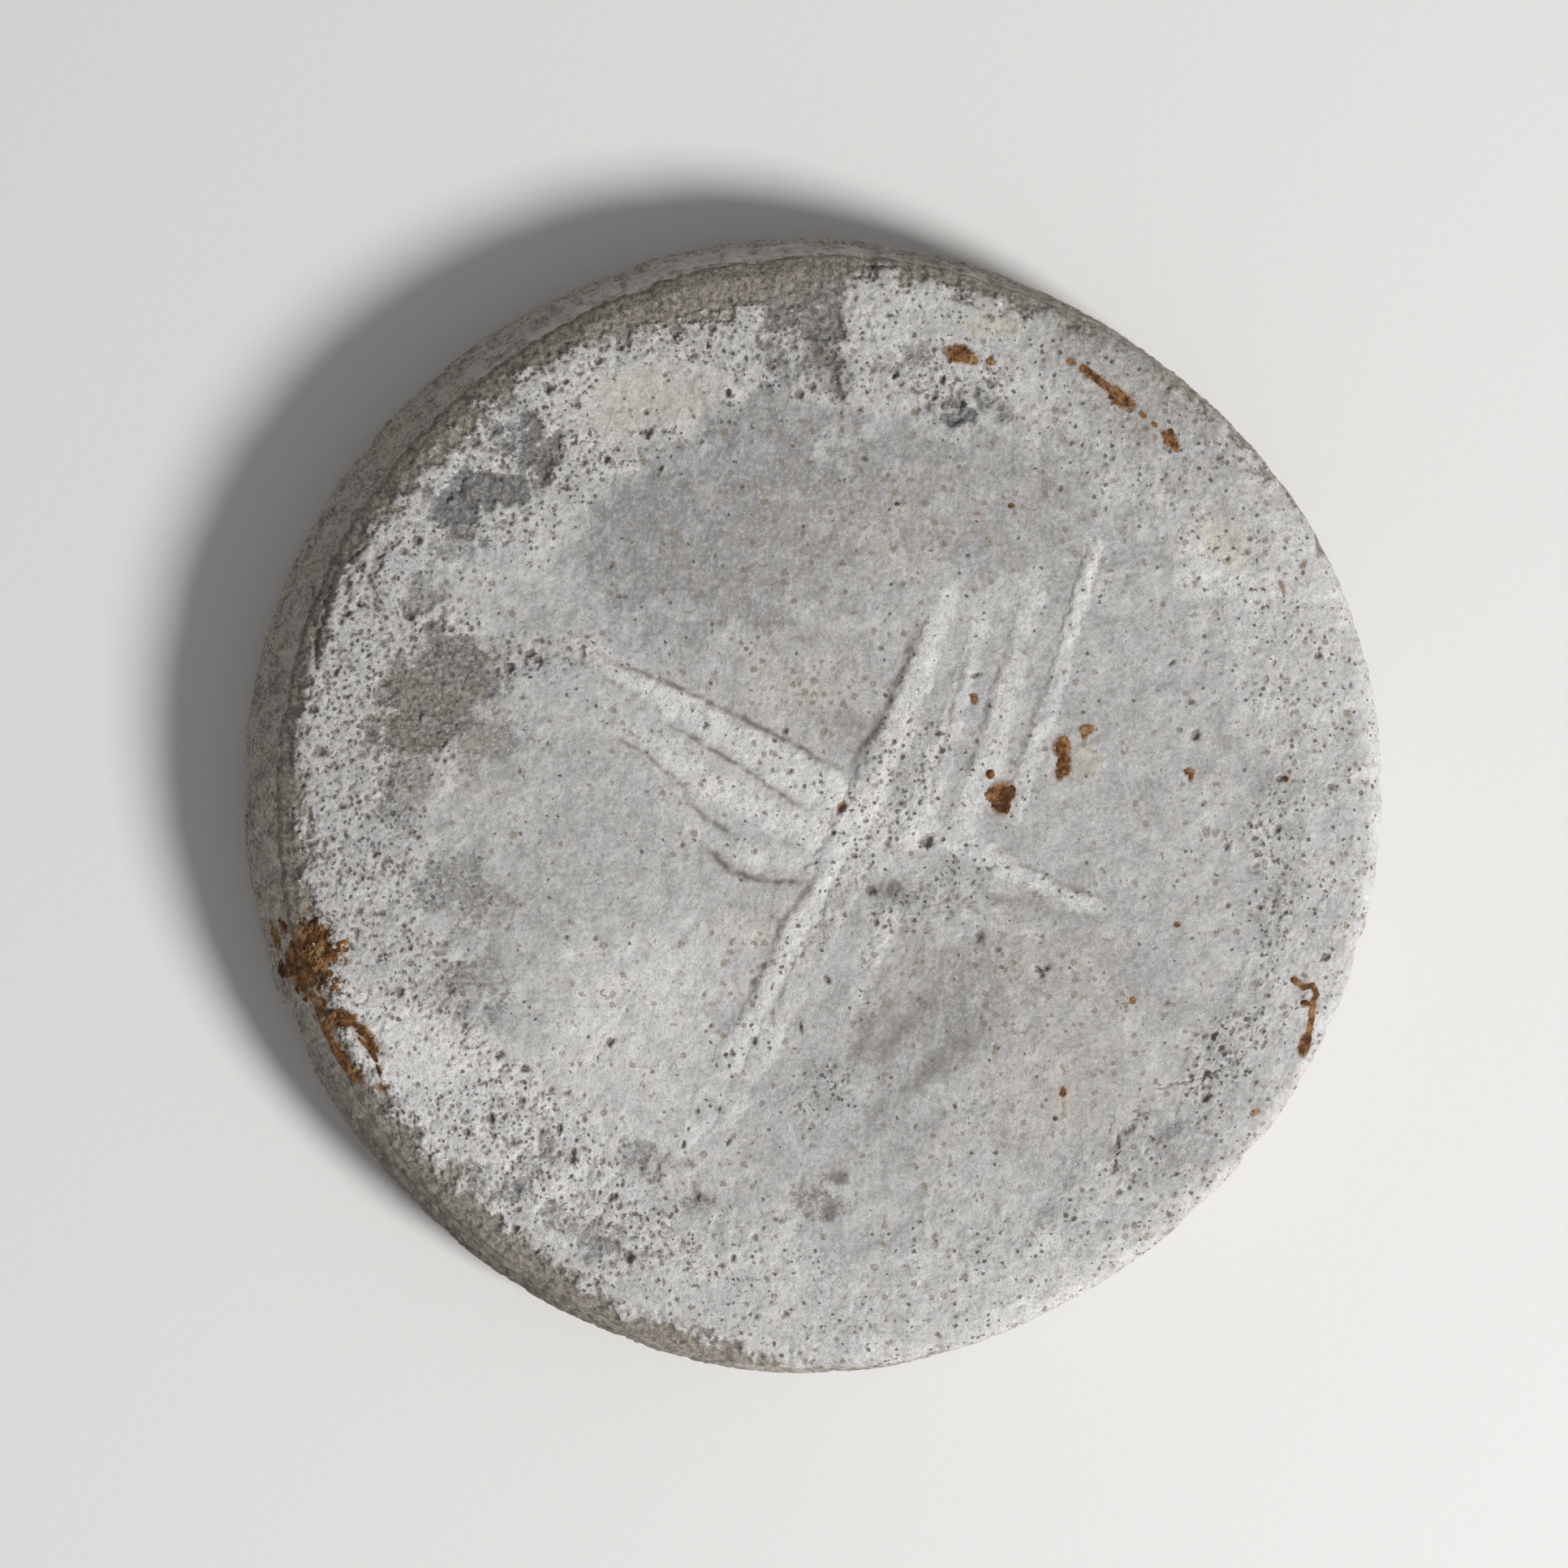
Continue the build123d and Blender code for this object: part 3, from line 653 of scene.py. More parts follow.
# Patches that are darker (minus) or whiter (plus) than the rest: an oval and how much.
tones = [
    (-4.6, 13.6, 10.5, 7.0, 8, -0.15), (5.5, 20.6, 3.5, 1.6, -10, -0.15),
    (-12.6, -1.8, 5.0, 5.0, 0, -0.06), (-20.4, -13.3, 5.8, 2.8, -22, 0.65),
    (-10.5, -13.0, 7.0, 5.0, 25, 0.32), (-7.0, -8.0, 5.0, 4.0, 30, 0.18),
    (-17.0, -18.5, 7.0, 3.4, -42, 0.30), (-9.0, -19.5, 7.0, 4.0, 0, 0.20),
    (27.0, -3.0, 2.4, 12.0, 0, -0.28), (21.0, -17.0, 9.0, 2.6, 45, -0.38),
    (17.0, 21.5, 9.0, 4.0, -45, -0.38), (-3.0, 1.0, 8.0, 3.0, -28, 0.22), (3.0, -1.6, 4.0, 2.4, 0, 0.30),
    (6.2, -10.8, 5.5, 4.2, 40, -0.32), (13.5, -8.0, 6.5, 3.4, -15, -0.14),
    (15.5, 2.0, 6.0, 9.0, 0, -0.06), (0.0, -17.0, 9.0, 6.0, 0, -0.06), (21.8, 11.4, 3.2, 1.6, -35, 0.35),
    (26.6, 0.0, 1.6, 9.5, 0, 0.18), (20.5, -14.8, 3.2, 2.0, 40, 0.18), (-24.2, 3.0, 1.6, 6.0, 0, -0.05),
    (-8.6, 20.8, 5.0, 2.0, 12, 0.10), (4.5, 24.8, 3.0, 2.6, 0, 0.10), (17.5, 21.0, 6.5, 2.2, -45, -0.12),
    (-13.0, 13.0, 2.5, 4.5, 20, 0.10), (2.0, 4.6, 3.0, 2.6, 50, -0.15), (-14.0, 19.5, 9.0, 3.6, 38, 0.16),
    (13.0, -12.0, 8.0, 8.0, 0, -0.08), (0.0, 24.5, 6.0, 3.0, 0, 0.08),
]
# Worn patches of the field with a sharp ragged border.
worn_patches = [
    (-4.6, 14.0, 8.0, 5.4, 8, -0.26), (-1.6, 19.2, 4.4, 2.6, 0, -0.28), (8.6, 15.4, 9.0, 3.6, -12, -0.24),
]
# Where the rind is smooth, where pits crowd together and where brown dust lies, all as ovals.
smooth_places = [(-8.6, 20.8, 5.0, 2.2, 12), (-20.0, -13.4, 4.0, 1.8, -20), (-17.0, 11.6, 4.0, 2.2, 10)]
pitted_places = [
    (-11.5, -19.5, 8.5, 4.0, -35), (4.6, 0.5, 2.2, 6.0, -25), (-23.5, 2.5, 2.4, 9.0, 0),
    (-13.5, 21.5, 8.0, 2.4, 38), (-1.5, 23.3, 5.0, 2.2, -10), (8.0, 21.6, 3.5, 2.2, 0),
    (-14.5, 7.4, 4.0, 1.6, 0), (6.4, -4.6, 4.5, 2.0, 20), (21.5, -13.0, 3.0, 2.0, 40),
    (24.0, -4.0, 1.2, 6.0, 0), (-12.5, 17.6, 3.0, 1.6, 20), (0.6, -15.2, 2.6, 2.0, 0),
]
brown_places = [
    (5.4, -10.2, 4.6, 3.0, 45), (-2.6, -6.6, 3.2, 2.6, 60), (11.5, -8.5, 7.5, 3.6, -20),
    (0.2, 5.5, 5.0, 3.2, -30), (3.0, 14.0, 10, 4, 10), (17.5, 21.0, 6.5, 3.0, -45),
    (12.0, -14.0, 6.0, 4.0, 0), (-19.2, 4.6, 4.0, 6.0, 0), (-1.0, 27.0, 6.0, 2.5, 0),
]


def patchwork(x, y, patches, ragged, softness):
    """Sum of ragged patches, each an oval and how much it adds."""
    low, high = -0.25 * softness, 0.75 * softness
    return sum(much * eased(low, high, near(x, y, *oval) + 0.3 * ragged) for *oval, much in patches)


def iron_inside(x, y, deposit):
    """How far inside one iron deposit a point is, from its ovals and its lines."""
    ovals, lines = deposit
    return np.max(
        [near(x, y, *oval) for oval in ovals]
        + [1 - np.abs(along_line(x, y, points)[0]) / half_width for points, half_width in lines],
        axis=0,
    )


def rind(x, y):
    """Everything about the rind at a point of the face: the height of its surface without the
    raised lines, and the marks its material reads."""
    turn, reach = np.arctan2(y, x), np.hypot(x, y)
    inside_edge = edge_radius(turn) - reach
    wander = rough(x, y, 4.5, 101, 4, 0.6)
    ragged = rough(x, y, 1.5, 71, 5, 0.8)
    lumps = rough(x, y, 0.8, 111, 3, 0.7)
    fine = rough(x, y, 0.30, 121, 2, 0.8)
    cloud = rough(x, y, 3.2, 201, 4, 0.65)
    rim = eased(-1.3, 1.7, reach - field_edge_radius(turn) + 1.6 * wander)
    busy = eased(-0.3, 0.7, np.cos(turn - np.radians(165)))

    # Where the rind has gone, right through or to a thin skin.
    stray_x = x + 1.0 * rough(x, y, 2.8, 211, 3, 0.75)
    stray_y = y + 1.0 * rough(x, y, 2.8, 215, 3, 0.75)
    bare = eased(-0.35, 0.45, inside_any(stray_x, stray_y, flakes) + 0.30 * ragged)
    bare = np.maximum(bare, 0.52 * eased(-0.4, 0.6, inside_any(stray_x, stray_y, thinned) + 0.35 * ragged))
    bare_width = 1.15 * leaning(turn) - 0.7
    for middle, stretch, width in bare_edges:
        bare_width = bare_width + (width + 0.4) * np.exp(-((degrees_from(turn, middle) / stretch) ** 2))
    at_edge = eased(-0.5, 0.5, np.minimum(bare_width, 2.4) - inside_edge + 0.7 * ragged)
    bare = np.maximum(bare, 0.95 * at_edge)

    thick = 0.16 + 0.16 * rim + 0.03 * wander
    thick = thick + (0.003 + 0.009 * rim) * (ragged + fine) + (0.004 + 0.012 * rim) * lumps
    thick = thick + 0.08 * (1 - leaning(turn)) * np.exp(-(((inside_edge - 3.6) / 0.9) ** 2))
    coarse = rough(x, y, 0.42, 131, 3, 0.75)
    thick = thick * (1 - 0.70 * bare) + 0.06 * bare * coarse
    layers = 0.015 * eased(0, 0.4, near(x, y, -0.6, 27.2, 3.0, 2.8)) * rough(x, 7 * y, 4, 21, 3)

    smooth = eased(0, 0.4, inside_any(x, y, smooth_places) + 0.3 * ragged)
    crowded = eased(-0.1, 0.6, inside_any(x, y, pitted_places) + 0.2 * wander)
    density = 0.015 + rim * (0.06 + 0.40 * busy) + 0.50 * crowded
    density = np.clip(density + 0.15 * wander * (rim + crowded), 0.01, 0.85) * (1 - 0.9 * smooth)
    warped_x, warped_y = x + 0.09 * rough(x, y, 0.4, 153, 2), y + 0.09 * rough(x, y, 0.4, 155, 2)
    small = pitted(warped_x, warped_y, 0.38, 0.14, density, 161)
    middle = pitted(warped_x, warped_y, 0.80, 0.20, 0.7 * density, 171)
    large = pitted(warped_x, warped_y, 2.2, 0.30, 0.5 * density, 181)
    holes = np.maximum.reduce([0.09 * small, 0.15 * middle, 0.20 * large])
    for pit_x, pit_y, half_length, half_width, pit_turn, depth in single_pits:
        bowl = near(
            x + 0.16 * lumps, y + 0.16 * ragged, pit_x, pit_y, 0.9 * half_length, half_width, pit_turn
        )
        holes = np.maximum(holes, depth * np.clip(1 - (1 - bowl) ** 3, 0, 1))
    gaps = np.zeros_like(x)
    for points, half_width, depth in cracks:
        offset, _ = along_line(x + 0.22 * ragged, y + 0.15 * lumps, points)
        wide = half_width * (0.55 + 0.6 * rough(x, y, 1.0, 157, 2))
        gaps = np.maximum(gaps, depth * np.clip(1 - np.abs(offset) / np.maximum(wide, 0.05), 0, 1))
    # The dirt lines are painted dark both as brown dirt and as the shadow at the foot of the raised lines,
    # and sink the surface a little.
    dirt_and_shadow = rubbed(x + 0.08 * ragged, y + 0.08 * lumps, dirt_and_shadow_lines)
    dirt_and_shadow = dirt_and_shadow * np.clip(0.9 + 0.6 * rough(x, y, 0.7, 158, 2, 0.8), 0, 1)
    height = stone_height(x, y) + thick + layers - holes * (1 - 0.6 * bare) - gaps - 0.05 * dirt_and_shadow
    meet = np.clip(1 - inside_edge / 0.6, 0, 1) ** 2
    height = height * (1 - meet) + (stone_top - 0.06 - face_roll(turn)) * meet

    white = 0.46 + 0.18 * rim + 0.13 * cloud - 0.06 * rim * busy + patchwork(x, y, tones, ragged, 1.0)
    white = white + (1 - 0.6 * rim) * patchwork(stray_x, stray_y, worn_patches, ragged, 0.25)
    brown = eased(-0.2, 0.8, 0.4 * ragged + inside_any(x, y, brown_places))
    # Pits and cracks are painted darker the deeper they are: brown dirt where earthy, painted grey shade
    # elsewhere.
    in_pits = np.clip(np.maximum(holes, gaps) / 0.09, 0, 1)
    earthy = eased(-0.5, 0.4, wander + 0.5 * busy)
    smear = rubbed(x + 0.25 * ragged, y + 0.2 * lumps, smears) * np.clip(0.8 + 0.4 * lumps, 0, 1)
    dirt_and_shade = np.maximum(in_pits * (0.35 + 0.5 * earthy), dirt_and_shadow)
    deposits = [deposit for group in iron_deposits.values() for deposit in group]
    halo = 0.75 * eased(-0.45, 0.1, np.max([iron_inside(x, y, deposit) for deposit in deposits], axis=0))
    soaked = 0.75 * eased(-0.1, 0.5, inside_any(x, y, rust_soaked) + 0.35 * ragged)
    on_edge = 0.92 * eased(-0.15, 0.15, edge_iron(turn, inside_edge))
    marks = {
        "white": white,
        "dirt_and_shade": dirt_and_shade,
        "warm": eased(0, 0.5, near(x, y, -8.6, 20.8, 4.6, 2.0, 12) + 0.3 * ragged) + 0.5 * brown + at_edge,
        "rust": np.maximum.reduce([halo, soaked, on_edge]),
        "yellow": 0.4 * eased(-0.2, 0.5, inside_any(x, y, yellow_stains) + 0.35 * ragged),
        "smear_and_pit_shade": np.maximum(0.9 * smear, in_pits * (1 - earthy) * 0.9),
        "bare": bare,
        "speckled": 0.35 + 0.45 * cloud + 0.5 * brown + 0.1 * rim,
        "pitty": np.clip(0.05 + 0.24 * rim + 0.45 * crowded + 0.32 * busy * rim, 0, 1) * (1 - 0.75 * smooth),
    }
    return height, {key: np.clip(value, 0, 1) for key, value in marks.items()}


def chalky_rind_material():
    """Calcite rind, grown and weathered: chalk white to worn grey, cloudy at 1 mm and mottled at 0.26 mm,
    with pinholes every 0.3 mm or so painted dark as the shade inside them, brown dust, dirt and painted
    shade in pits, cracks and at the foot of raised lines, soft iron stains, and the grey stone showing
    through in grains where the rind is thin. Dull as plaster."""
    names = ("white", "dirt_and_shade", "warm", "rust", "yellow", "smear_and_pit_shade", "bare", "speckled", "pitty")
    material, tree, place, marks = new_material("calcite_rind_weathered", names)
    cloud, mottle, powder, spots, tint, earth = (
        add_node(
            tree, "ShaderNodeTexNoise", Vector=place, Scale=1 / (size * mm), Detail=detail, Roughness=jag
        )
        for size, detail, jag in (
            (1.1, 5, 0.7), (0.26, 4, 0.75), (0.10, 3, 0.7), (0.45, 4, 0.8), (2.4, 4, 0.65), (1.6, 4, 0.7)
        )
    )

    # Pinholes and dirt specks: one in each cell of a jumbled net, of a random size up to a share of
    # the cell, and kept more often where pitty or speckled says so.
    jumble = add_node(
        tree, "ShaderNodeVectorMath", operation="MULTIPLY_ADD",
        Vector=mottle.node.outputs["Color"], Vector_001=(0.36 * mm,) * 3, Vector_002=place,
    )
    speckled = add_node(
        tree, "ShaderNodeMath", operation="MULTIPLY", Value=marks["speckled"], Value_001=0.85
    )
    dots = []
    for apart, widest, common in ((0.30, 0.34, marks["pitty"]), (0.52, 0.36, speckled)):
        away = add_node(tree, "ShaderNodeTexVoronoi", "Distance", Vector=jumble, Scale=1 / (apart * mm))
        size = add_node(tree, "ShaderNodeSeparateColor", "Red", Color=away.node.outputs["Color"])
        edge = add_node(
            tree, "ShaderNodeMath", operation="MULTIPLY_ADD", Value=size, Value_001=-widest, Value_002=away
        )
        chance = size.node.outputs["Green"]
        kept = add_node(tree, "ShaderNodeMath", operation="LESS_THAN", Value=chance, Value_001=common)
        dots.append(add_node(
            tree, "ShaderNodeMapRange", Value=edge, From_Min=0.10, From_Max=0.0, To_Max=kept
        ))
    pinhole, speck = dots
    worn_speck = add_node(
        tree, "ShaderNodeMapRange", Value=powder, From_Min=0.36, From_Max=0.52, To_Min=0.15, To_Max=0.75
    )

    cloudy = add_node(
        tree, "ShaderNodeMapRange", Value=cloud, From_Min=0.3, From_Max=0.7, To_Min=-0.24, To_Max=0.24
    )
    white = add_node(tree, "ShaderNodeMath", operation="ADD", Value=marks["white"], Value_001=cloudy)
    grainy = add_node(
        tree, "ShaderNodeMapRange", Value=marks["pitty"], From_Min=0, From_Max=0.7, To_Min=0.36, To_Max=0.55
    )
    # Pinholes are painted dark, grey with brown in places, as the shade inside them.
    pinhole_shade = coats(tree, "#6b6a6d", [(tint, 0.42, 0.56, 1.0, "#574c40")])
    colour = coats(tree, "#8a8989", [
        (white, 0, 1, 1.0, "#d7d5d2"),
        (tint, 0.50, 0.66, 0.35, "#abb1b7"),
        (marks["warm"], 0, 1, 0.45, "#b7af9f"),
        (mottle, 0.50, 0.64, grainy, "#dbd9d5"),
        (mottle, 0.48, 0.34, grainy, "#85807a"),
        (powder, 0.54, 0.66, 0.6, "#877f74"),
        (spots, 0.57, 0.66, 0.55, "#857b6d"),
        (speck, 0, 1, worn_speck, "#7b6f58"),
        (marks["yellow"], 0, 1, 0.6, "#b5a67c"),
        # Grey smears with painted shade in pits, painted shade in pinholes, then dirt with painted shade in
        # pits, cracks and at the raised lines' feet.
        (marks["smear_and_pit_shade"], 0, 1, 0.75, "#726e69"),
        (pinhole, 0, 1, 0.85, pinhole_shade),
        (marks["dirt_and_shade"], 0, 1, 0.85, "#5e5347"),
    ])

    # The stone that shows through: grey to brown-grey grit with pale dust left on it.
    stone = coats(tree, "#75767a", [
        (earth, 0.42, 0.58, 1.0, "#79746c"),
        (marks["warm"], 0, 1, 0.9, "#8f877a"),
        (spots, 0.50, 0.60, 0.75, "#59534a"),
        (mottle, 0.49, 0.38, 0.70, "#4d4842"),
        (mottle, 0.52, 0.66, 0.65, "#aeaaa2"),
    ])
    grain_by_grain = add_node(
        tree, "ShaderNodeMapRange", Value=mottle, From_Min=0.34, From_Max=0.66, To_Min=-0.45, To_Max=0.45
    )
    through = add_node(
        tree, "ShaderNodeMath", operation="ADD", Value=grain_by_grain, Value_001=marks["bare"]
    )
    rusty = coats(tree, "#5a3b22", [(mottle, 0.42, 0.60, 1.0, "#9a6b3d")])
    colour = coats(tree, colour, [(through, 0.28, 0.62, 0.92, stone), (marks["rust"], 0, 1, 1.0, rusty)])

    relief = add_node(
        tree, "ShaderNodeMath", operation="MULTIPLY_ADD", Value=powder, Value_001=0.5, Value_002=mottle
    )
    relief = add_node(
        tree, "ShaderNodeMath", operation="MULTIPLY_ADD", Value=pinhole, Value_001=-0.9, Value_002=relief
    )
    rougher = add_node(
        tree, "ShaderNodeMapRange", Value=marks["pitty"], From_Min=0, From_Max=0.5, To_Min=0.65, To_Max=1
    )
    relief = add_node(tree, "ShaderNodeMath", operation="MULTIPLY", Value=relief, Value_001=rougher)
    finish_material(tree, colour, 0.95, relief, 0.075)
    return material


def disc_grid(count, radius_at):
    """A square grid of count by count points pressed into a round outline, with no crowded middle:
    each square ring of the grid becomes a round one, and its points are evenly spaced round it."""
    a, b = np.meshgrid(np.linspace(-1, 1, count), np.linspace(-1, 1, count), indexing="ij")
    upright = np.abs(a) < np.abs(b)
    reach = np.where(upright, b, a)
    safe = np.where(reach == 0, 1, reach)
    turn = np.where(upright, np.pi / 2 - np.pi / 4 * a / safe, np.pi / 4 * b / safe)
    x, y = reach * np.cos(turn), reach * np.sin(turn)
    radius = radius_at(np.arctan2(y, x))
    return x * radius, y * radius


rind_material = chalky_rind_material()
rind_depth = 0.85
rind_floor = stone_top - rind_depth

# The field is one grid of points pressed into its outline and cut in two across the middle.
field_count = 433
x, y = disc_grid(field_count, field_edge_radius)
z, marks = rind(x, y)
middle_row = field_count // 2
for side_name, rows in (("west", slice(0, middle_row + 1)), ("east", slice(middle_row, None))):
    half = (x[rows], y[rows], z[rows], rind_floor, {key: value[rows] for key, value in marks.items()})
    piece = make_piece(f"field_rind_{side_name}", [half], rind_material)
    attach(piece, "root")
    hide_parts("field_rind")

# The rim runs from the field's edge out to the face's edge, then wraps a little way down the side.
rim_columns = 4 * (field_count - 1)
turn = (np.arange(rim_columns + 1) / rim_columns * 2 * np.pi - np.pi)[None, :]
rim_rows = 92
share = np.linspace(0, 1, rim_rows)[:, None]
radius = field_edge_radius(turn) + (edge_radius(turn) - field_edge_radius(turn)) * share
flat_x, flat_y = radius * np.cos(turn), radius * np.sin(turn)
flat_z, marks = rind(flat_x, flat_y)
wrap_drop = np.array([0.015, 0.035, 0.06, 0.09])[:, None]
wrap_x, wrap_y, wrap_z = side_point(turn + 0 * wrap_drop, wrap_drop + 0 * turn)
coat = 0.05 - 25 * wrap_drop**2 + 0.02 * rough_round(turn + 0 * wrap_drop, wrap_z, 0.8, 0.8, 261)
grow = 1 + coat / np.hypot(wrap_x, wrap_y)
rim_points = np.concatenate([[flat_x, flat_y, flat_z], [wrap_x * grow, wrap_y * grow, wrap_z]], 1)
wrap_rows = len(wrap_drop)
marks = {key: np.concatenate([value, np.repeat(value[-1:], wrap_rows, 0)]) for key, value in marks.items()}
marks["bare"][-wrap_rows:] = np.maximum(marks["bare"][-wrap_rows:], leaning(turn) ** 0.7)
half_turn = rim_columns // 2
for side_name, cut in (("south", slice(0, half_turn + 1)), ("north", slice(half_turn, None))):
    half = (*rim_points[:, :, cut], rind_floor, {key: value[:, cut] for key, value in marks.items()})
    piece = make_piece(f"rim_rind_{side_name}", [half], rind_material)
    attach(piece, "root")
    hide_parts("rim_rind")

# ------------------------------------------------------------------------------------------------
# The raised lines. Strips of harder, whiter rind that stand above the worn field, steep on one
# flank and soft on the other, lying in it with their edges sunk a little below its surface.
every_line = [*long_lines, *west_lines, *east_lines]
line_sink = 0.02
along_spacing, across_spacing = 0.075, 0.07


def surface(x, y):
    """Height of the face with the raised lines on it."""
    return rind(x, y)[0] + np.max([raised(x, y, line) for line in every_line], axis=0)


def line_patch(line):
    """A strip of points along one raised line, a little wider than it is, on the face's surface,
    with the rind's marks, whiter towards the line's crest."""
    points, widths, _ = line
    points = np.array(points, float)
    lengths = np.concatenate([[0], np.cumsum(np.hypot(*np.diff(points, axis=0).T))])
    along = np.linspace(0, lengths[-1], int(lengths[-1] / along_spacing))
    middle = np.stack([np.interp(along, lengths, points[:, k]) for k in (0, 1)])
    ahead = np.stack([np.interp(along, lengths, np.gradient(points[:, k], lengths)) for k in (0, 1)])
    ahead = ahead / np.hypot(*ahead)
    half = 0.58 * max(widths) + 0.2
    across = np.linspace(-half, half, int(2 * half / across_spacing))[None, :]
    x = middle[0][:, None] - ahead[1][:, None] * across
    y = middle[1][:, None] + ahead[0][:, None] * across
    base, marks = rind(x, y)
    rise = raised(x, y, line)
    crest = np.clip(rise / 0.10, 0, 1)
    marks["white"] = np.clip(marks["white"] + 0.45 * crest, 0, 1)
    marks["pitty"] = np.clip(marks["pitty"] + 0.25 * crest, 0, 1)
    marks["dirt_and_shade"] = marks["dirt_and_shade"] * (1 - 0.20 * crest)
    marks["warm"] = 0.5 * marks["warm"]
    marks["smear_and_pit_shade"] = marks["smear_and_pit_shade"] * (1 - 0.7 * crest)
    return x, y, base - line_sink + rise, rind_floor, marks


for node, lines in (
    ("long_line_ridges", long_lines),
    ("west_line_ridges", west_lines),
    ("east_line_ridges", east_lines),
):
    piece = make_piece(node + "_worn", [line_patch(line) for line in lines], rind_material)
    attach(piece, "root")
    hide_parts(node)

# ------------------------------------------------------------------------------------------------
# The iron. Crumbly, rust-brown crusts of iron oxide that have grown on the stone: thin drops on
# the face, and a skin that wraps over the edge at the lower left.


def iron_crust_material():
    """Rust, grown as a crust: dark brown to orange brown in crumbs about 0.2 mm across."""
    material, tree, place, _ = new_material("iron_oxide_crust")
    crumbs, patch = (
        add_node(tree, "ShaderNodeTexNoise", Vector=place, Scale=1 / (size * mm), Detail=4, Roughness=jag)
        for size, jag in ((0.22, 0.75), (0.9, 0.7))
    )
    colour = coats(tree, "#533722", [
        (crumbs, 0.40, 0.60, 1.0, "#92663a"),
        (patch, 0.52, 0.64, 0.6, "#a98f68"),
        (patch, 0.50, 0.40, 0.85, "#3f281a"),
    ])
    finish_material(tree, colour, 0.9, crumbs, 0.10)
    return material


crust_thickness = 0.022
crust_dip = 0.25
crust_spacing = 0.05


def crust_rise(inside):
    """How far a crust stands above what it lies on: a thin even skin inside its outline, dipping
    out of sight below the surface outside it."""
    return np.clip(0.20 * inside, -crust_dip, crust_thickness)


def crust_patch(deposit):
    """A fine grid of points over one deposit, on the surface of the face. Its lines run round and
    out from the disc's middle, so that it can lie close to the edge without crossing it."""
    ovals, lines = deposit
    spots = [(x, y, max(long, wide)) for x, y, long, wide, _ in ovals]
    spots += [(x, y, half_width) for points, half_width in lines for x, y in points]
    x, y, size = np.array(spots).T
    turn, reach = np.arctan2(y, x), np.hypot(x, y)
    margin = size + 0.2
    first, last = np.min(turn - margin / reach), np.max(turn + margin / reach)
    inner, outer = np.min(reach - margin), np.max(reach + margin)
    turn = np.linspace(first, last, int((last - first) * outer / crust_spacing) + 2)[None, :]
    outer = np.minimum(outer, edge_radius(turn) - 0.15)
    rows = int((np.max(outer) - inner) / crust_spacing) + 2
    reach = inner + (outer - inner) * np.linspace(1, 0, rows)[:, None]
    x, y = reach * np.cos(turn), reach * np.sin(turn)
    inside = iron_inside(x, y, deposit) + 0.35 * rough(x, y, 0.6, 271, 4, 0.75)
    return x, y, surface(x, y) + crust_rise(inside) + 0.01 * rough(x, y, 0.2, 275, 2), rind_floor, {}


iron_material = iron_crust_material()
for node, group in iron_deposits.items():
    piece = make_piece(node + "_crust", [crust_patch(deposit) for deposit in group], iron_material)
    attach(piece, "root")
    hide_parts(node)

# The skin at the edge starts on the face and wraps over the shoulder and down the side. It is
# offset straight up on the face, sideways on the side, and turns from one to the other between.
skin_turns = (188, 211)
skin_width = 2.6
skin_drop = 0.80
skin_foot = 1.0
shoulder_depth = 0.6
turn = np.radians(np.linspace(*skin_turns, 260))[None, :]
face_inward = np.linspace(skin_width, 0.02, 44)[:, None]
radius = edge_radius(turn) - face_inward
x, y = radius * np.cos(turn), radius * np.sin(turn)
on_face = np.stack([x, y, surface(x, y)])
drop = np.linspace(0.02, skin_drop, 90)[:, None]
on_side = np.stack(side_point(turn + 0 * drop, drop + 0 * turn))
outward = iron_downward * (stone_top - on_side[2]) + np.hypot(on_side[0], on_side[1]) - edge_radius(turn)
outward = np.where(on_side[2] < stone_top - shoulder_depth, np.maximum(outward, 0), 0)
inward = np.concatenate([face_inward + 0 * turn, -outward])
wrapped = np.concatenate([on_face, on_side], 1)
reach = np.hypot(wrapped[0], wrapped[1])
rise = crust_rise(edge_iron(turn + 0 * inward, inward))
tilt = np.pi / 2 * np.concatenate([eased(0.0, 1.2, face_inward), 0 * drop])
tilt = np.maximum(tilt, np.pi / 4 * eased(-2.5, 0.5, inward))
grow = 1 + rise * np.cos(tilt) / reach
skin = (wrapped[0] * grow, wrapped[1] * grow, wrapped[2] + rise * np.sin(tilt))
piece = make_piece("rust_edge_patch_crust", [(*skin, skin_foot, {})], iron_material)
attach(piece, "root")
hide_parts("rust_edge_patch")

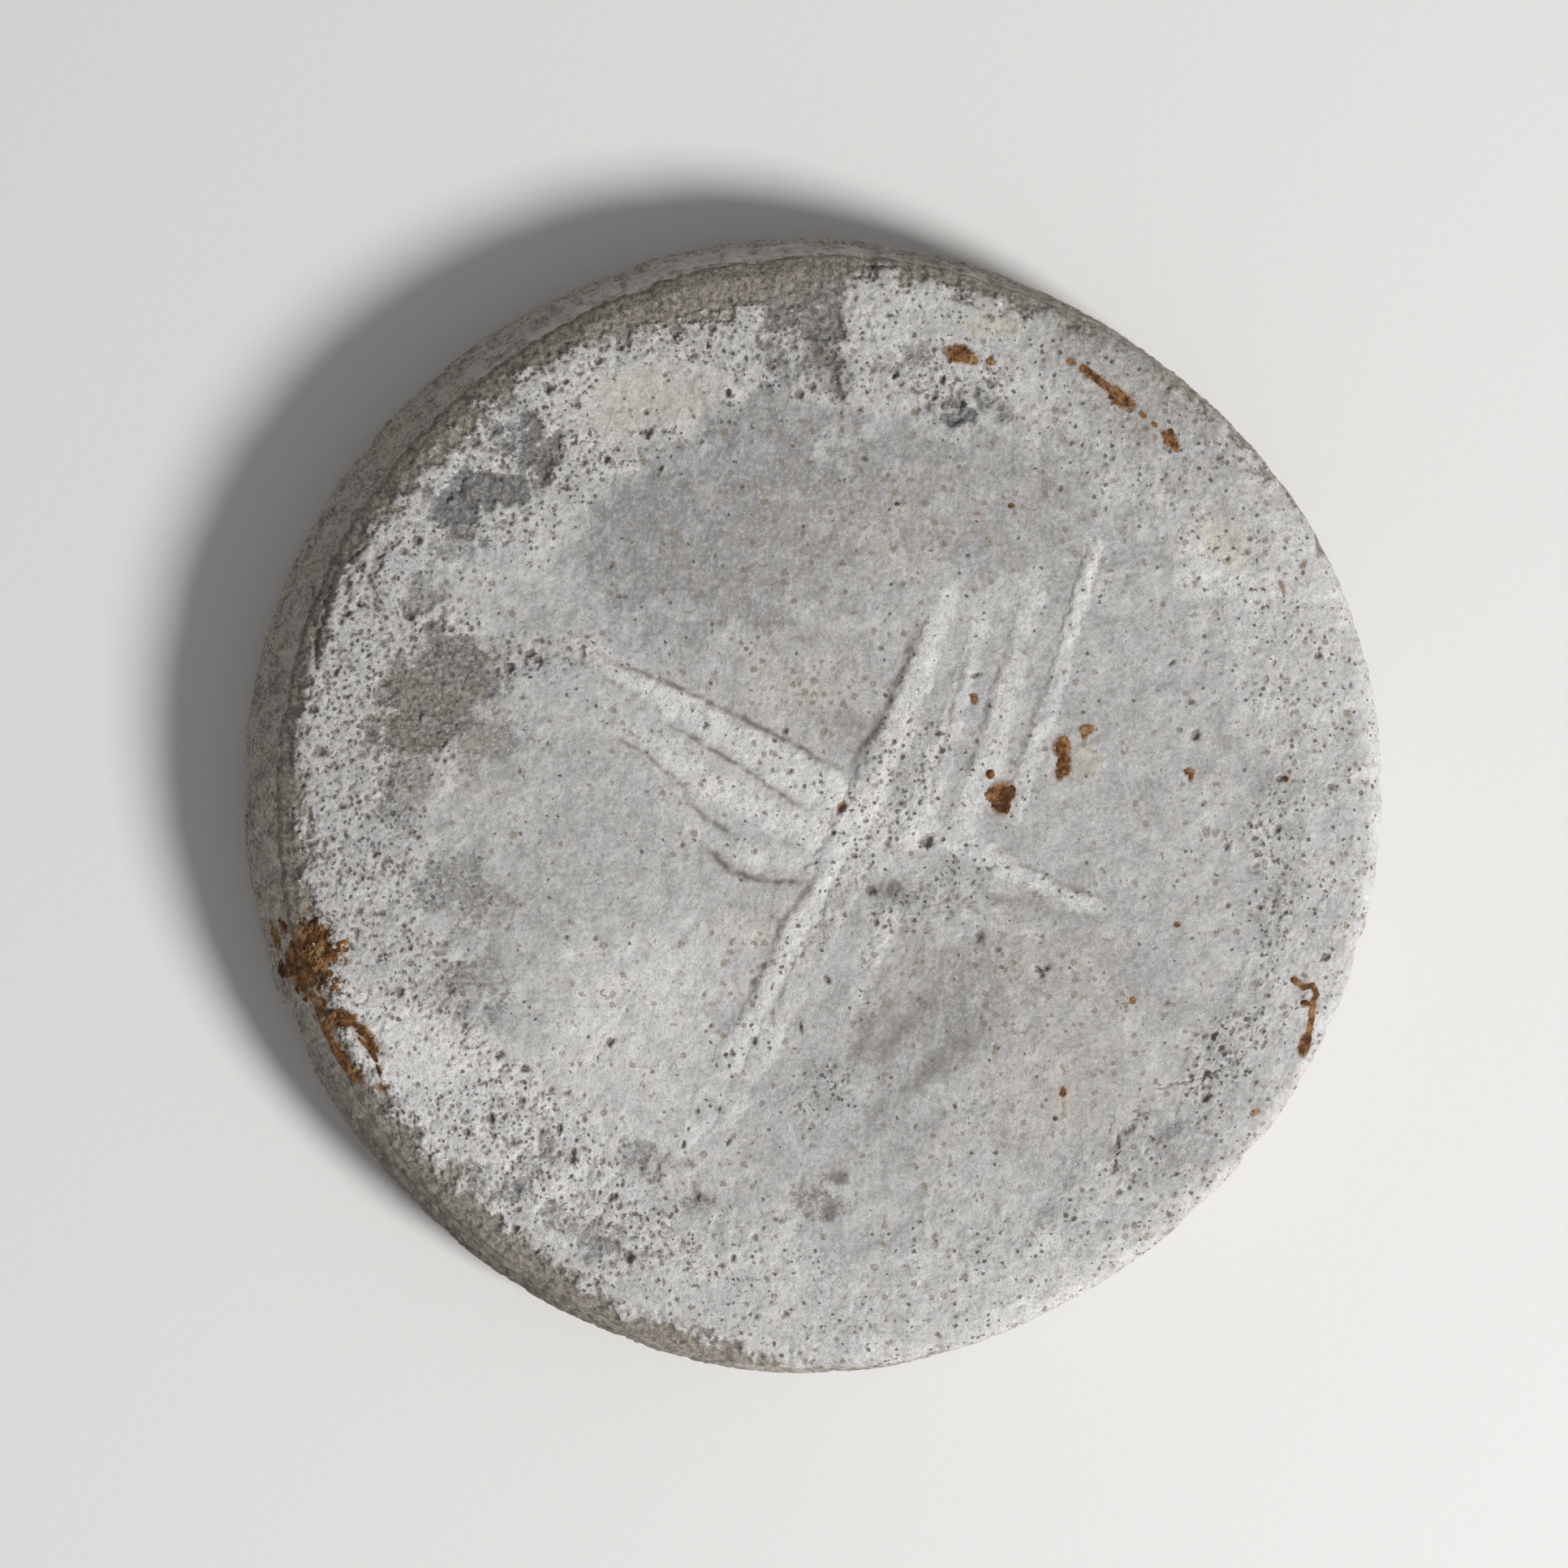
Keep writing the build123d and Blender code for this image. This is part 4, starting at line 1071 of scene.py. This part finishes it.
# ------------------------------------------------------------------------------------------------
# The studio: a pale paper floor, one soft round lamp on the right in front, and a little light from
# all round. Its sizes are metres.
floor_half = 2
floor_mesh = bpy.data.meshes.new("studio_floor")
floor_corners = [(floor_half * a, floor_half * b, 0) for a, b in ((-1, -1), (1, -1), (1, 1), (-1, 1))]
floor_mesh.from_pydata(floor_corners, [], [(0, 1, 2, 3)])
floor_material, tree, place, _ = new_material("studio_paper")
tooth = add_node(tree, "ShaderNodeTexNoise", Vector=place, Scale=1 / (0.6 * mm))
finish_material(tree, "#dddcda", 0.9, tooth, 0.01)
floor_mesh.materials.append(floor_material)
floor = bpy.data.objects.new("studio_floor", floor_mesh)
bpy.context.scene.collection.objects.link(floor)
floor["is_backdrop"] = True

lamp_turn, lamp_rise, lamp_away = np.radians(-32), np.radians(40), 0.6
key = bpy.data.lights.new("key", "AREA")
key.shape = "DISK"
key.size = 0.16
key.energy = 4.25
key_lamp = bpy.data.objects.new("key", key)
key_lamp.location = lamp_away * np.array([
    np.cos(lamp_rise) * np.cos(lamp_turn), np.cos(lamp_rise) * np.sin(lamp_turn), np.sin(lamp_rise)
])
key_lamp.rotation_euler = key_lamp.location.to_track_quat("Z", "Y").to_euler()
bpy.context.scene.collection.objects.link(key_lamp)

world = bpy.data.worlds.new("studio_air")
world.use_nodes = True
world.node_tree.nodes["Background"].inputs["Color"].default_value = (1, 1, 1, 1)
world.node_tree.nodes["Background"].inputs["Strength"].default_value = 0.28
bpy.context.scene.world = world
bpy.context.scene.view_settings.view_transform = "Standard"

# The camera looks straight down. Its view is this wide at the floor, in mm, round this middle.
view_width, view_middle = 83.4, (-1.25, 0.91)
lens = bpy.data.cameras.new("camera")
lens.lens = 120
lens.clip_start = 0.01
camera = bpy.data.objects.new("camera", lens)
camera.location = (view_middle[0] * mm, view_middle[1] * mm, view_width * mm * lens.lens / lens.sensor_width)
bpy.context.scene.collection.objects.link(camera)
bpy.context.scene.camera = camera

[[list(corner) for corner in box] for box in (cad_box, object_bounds())]
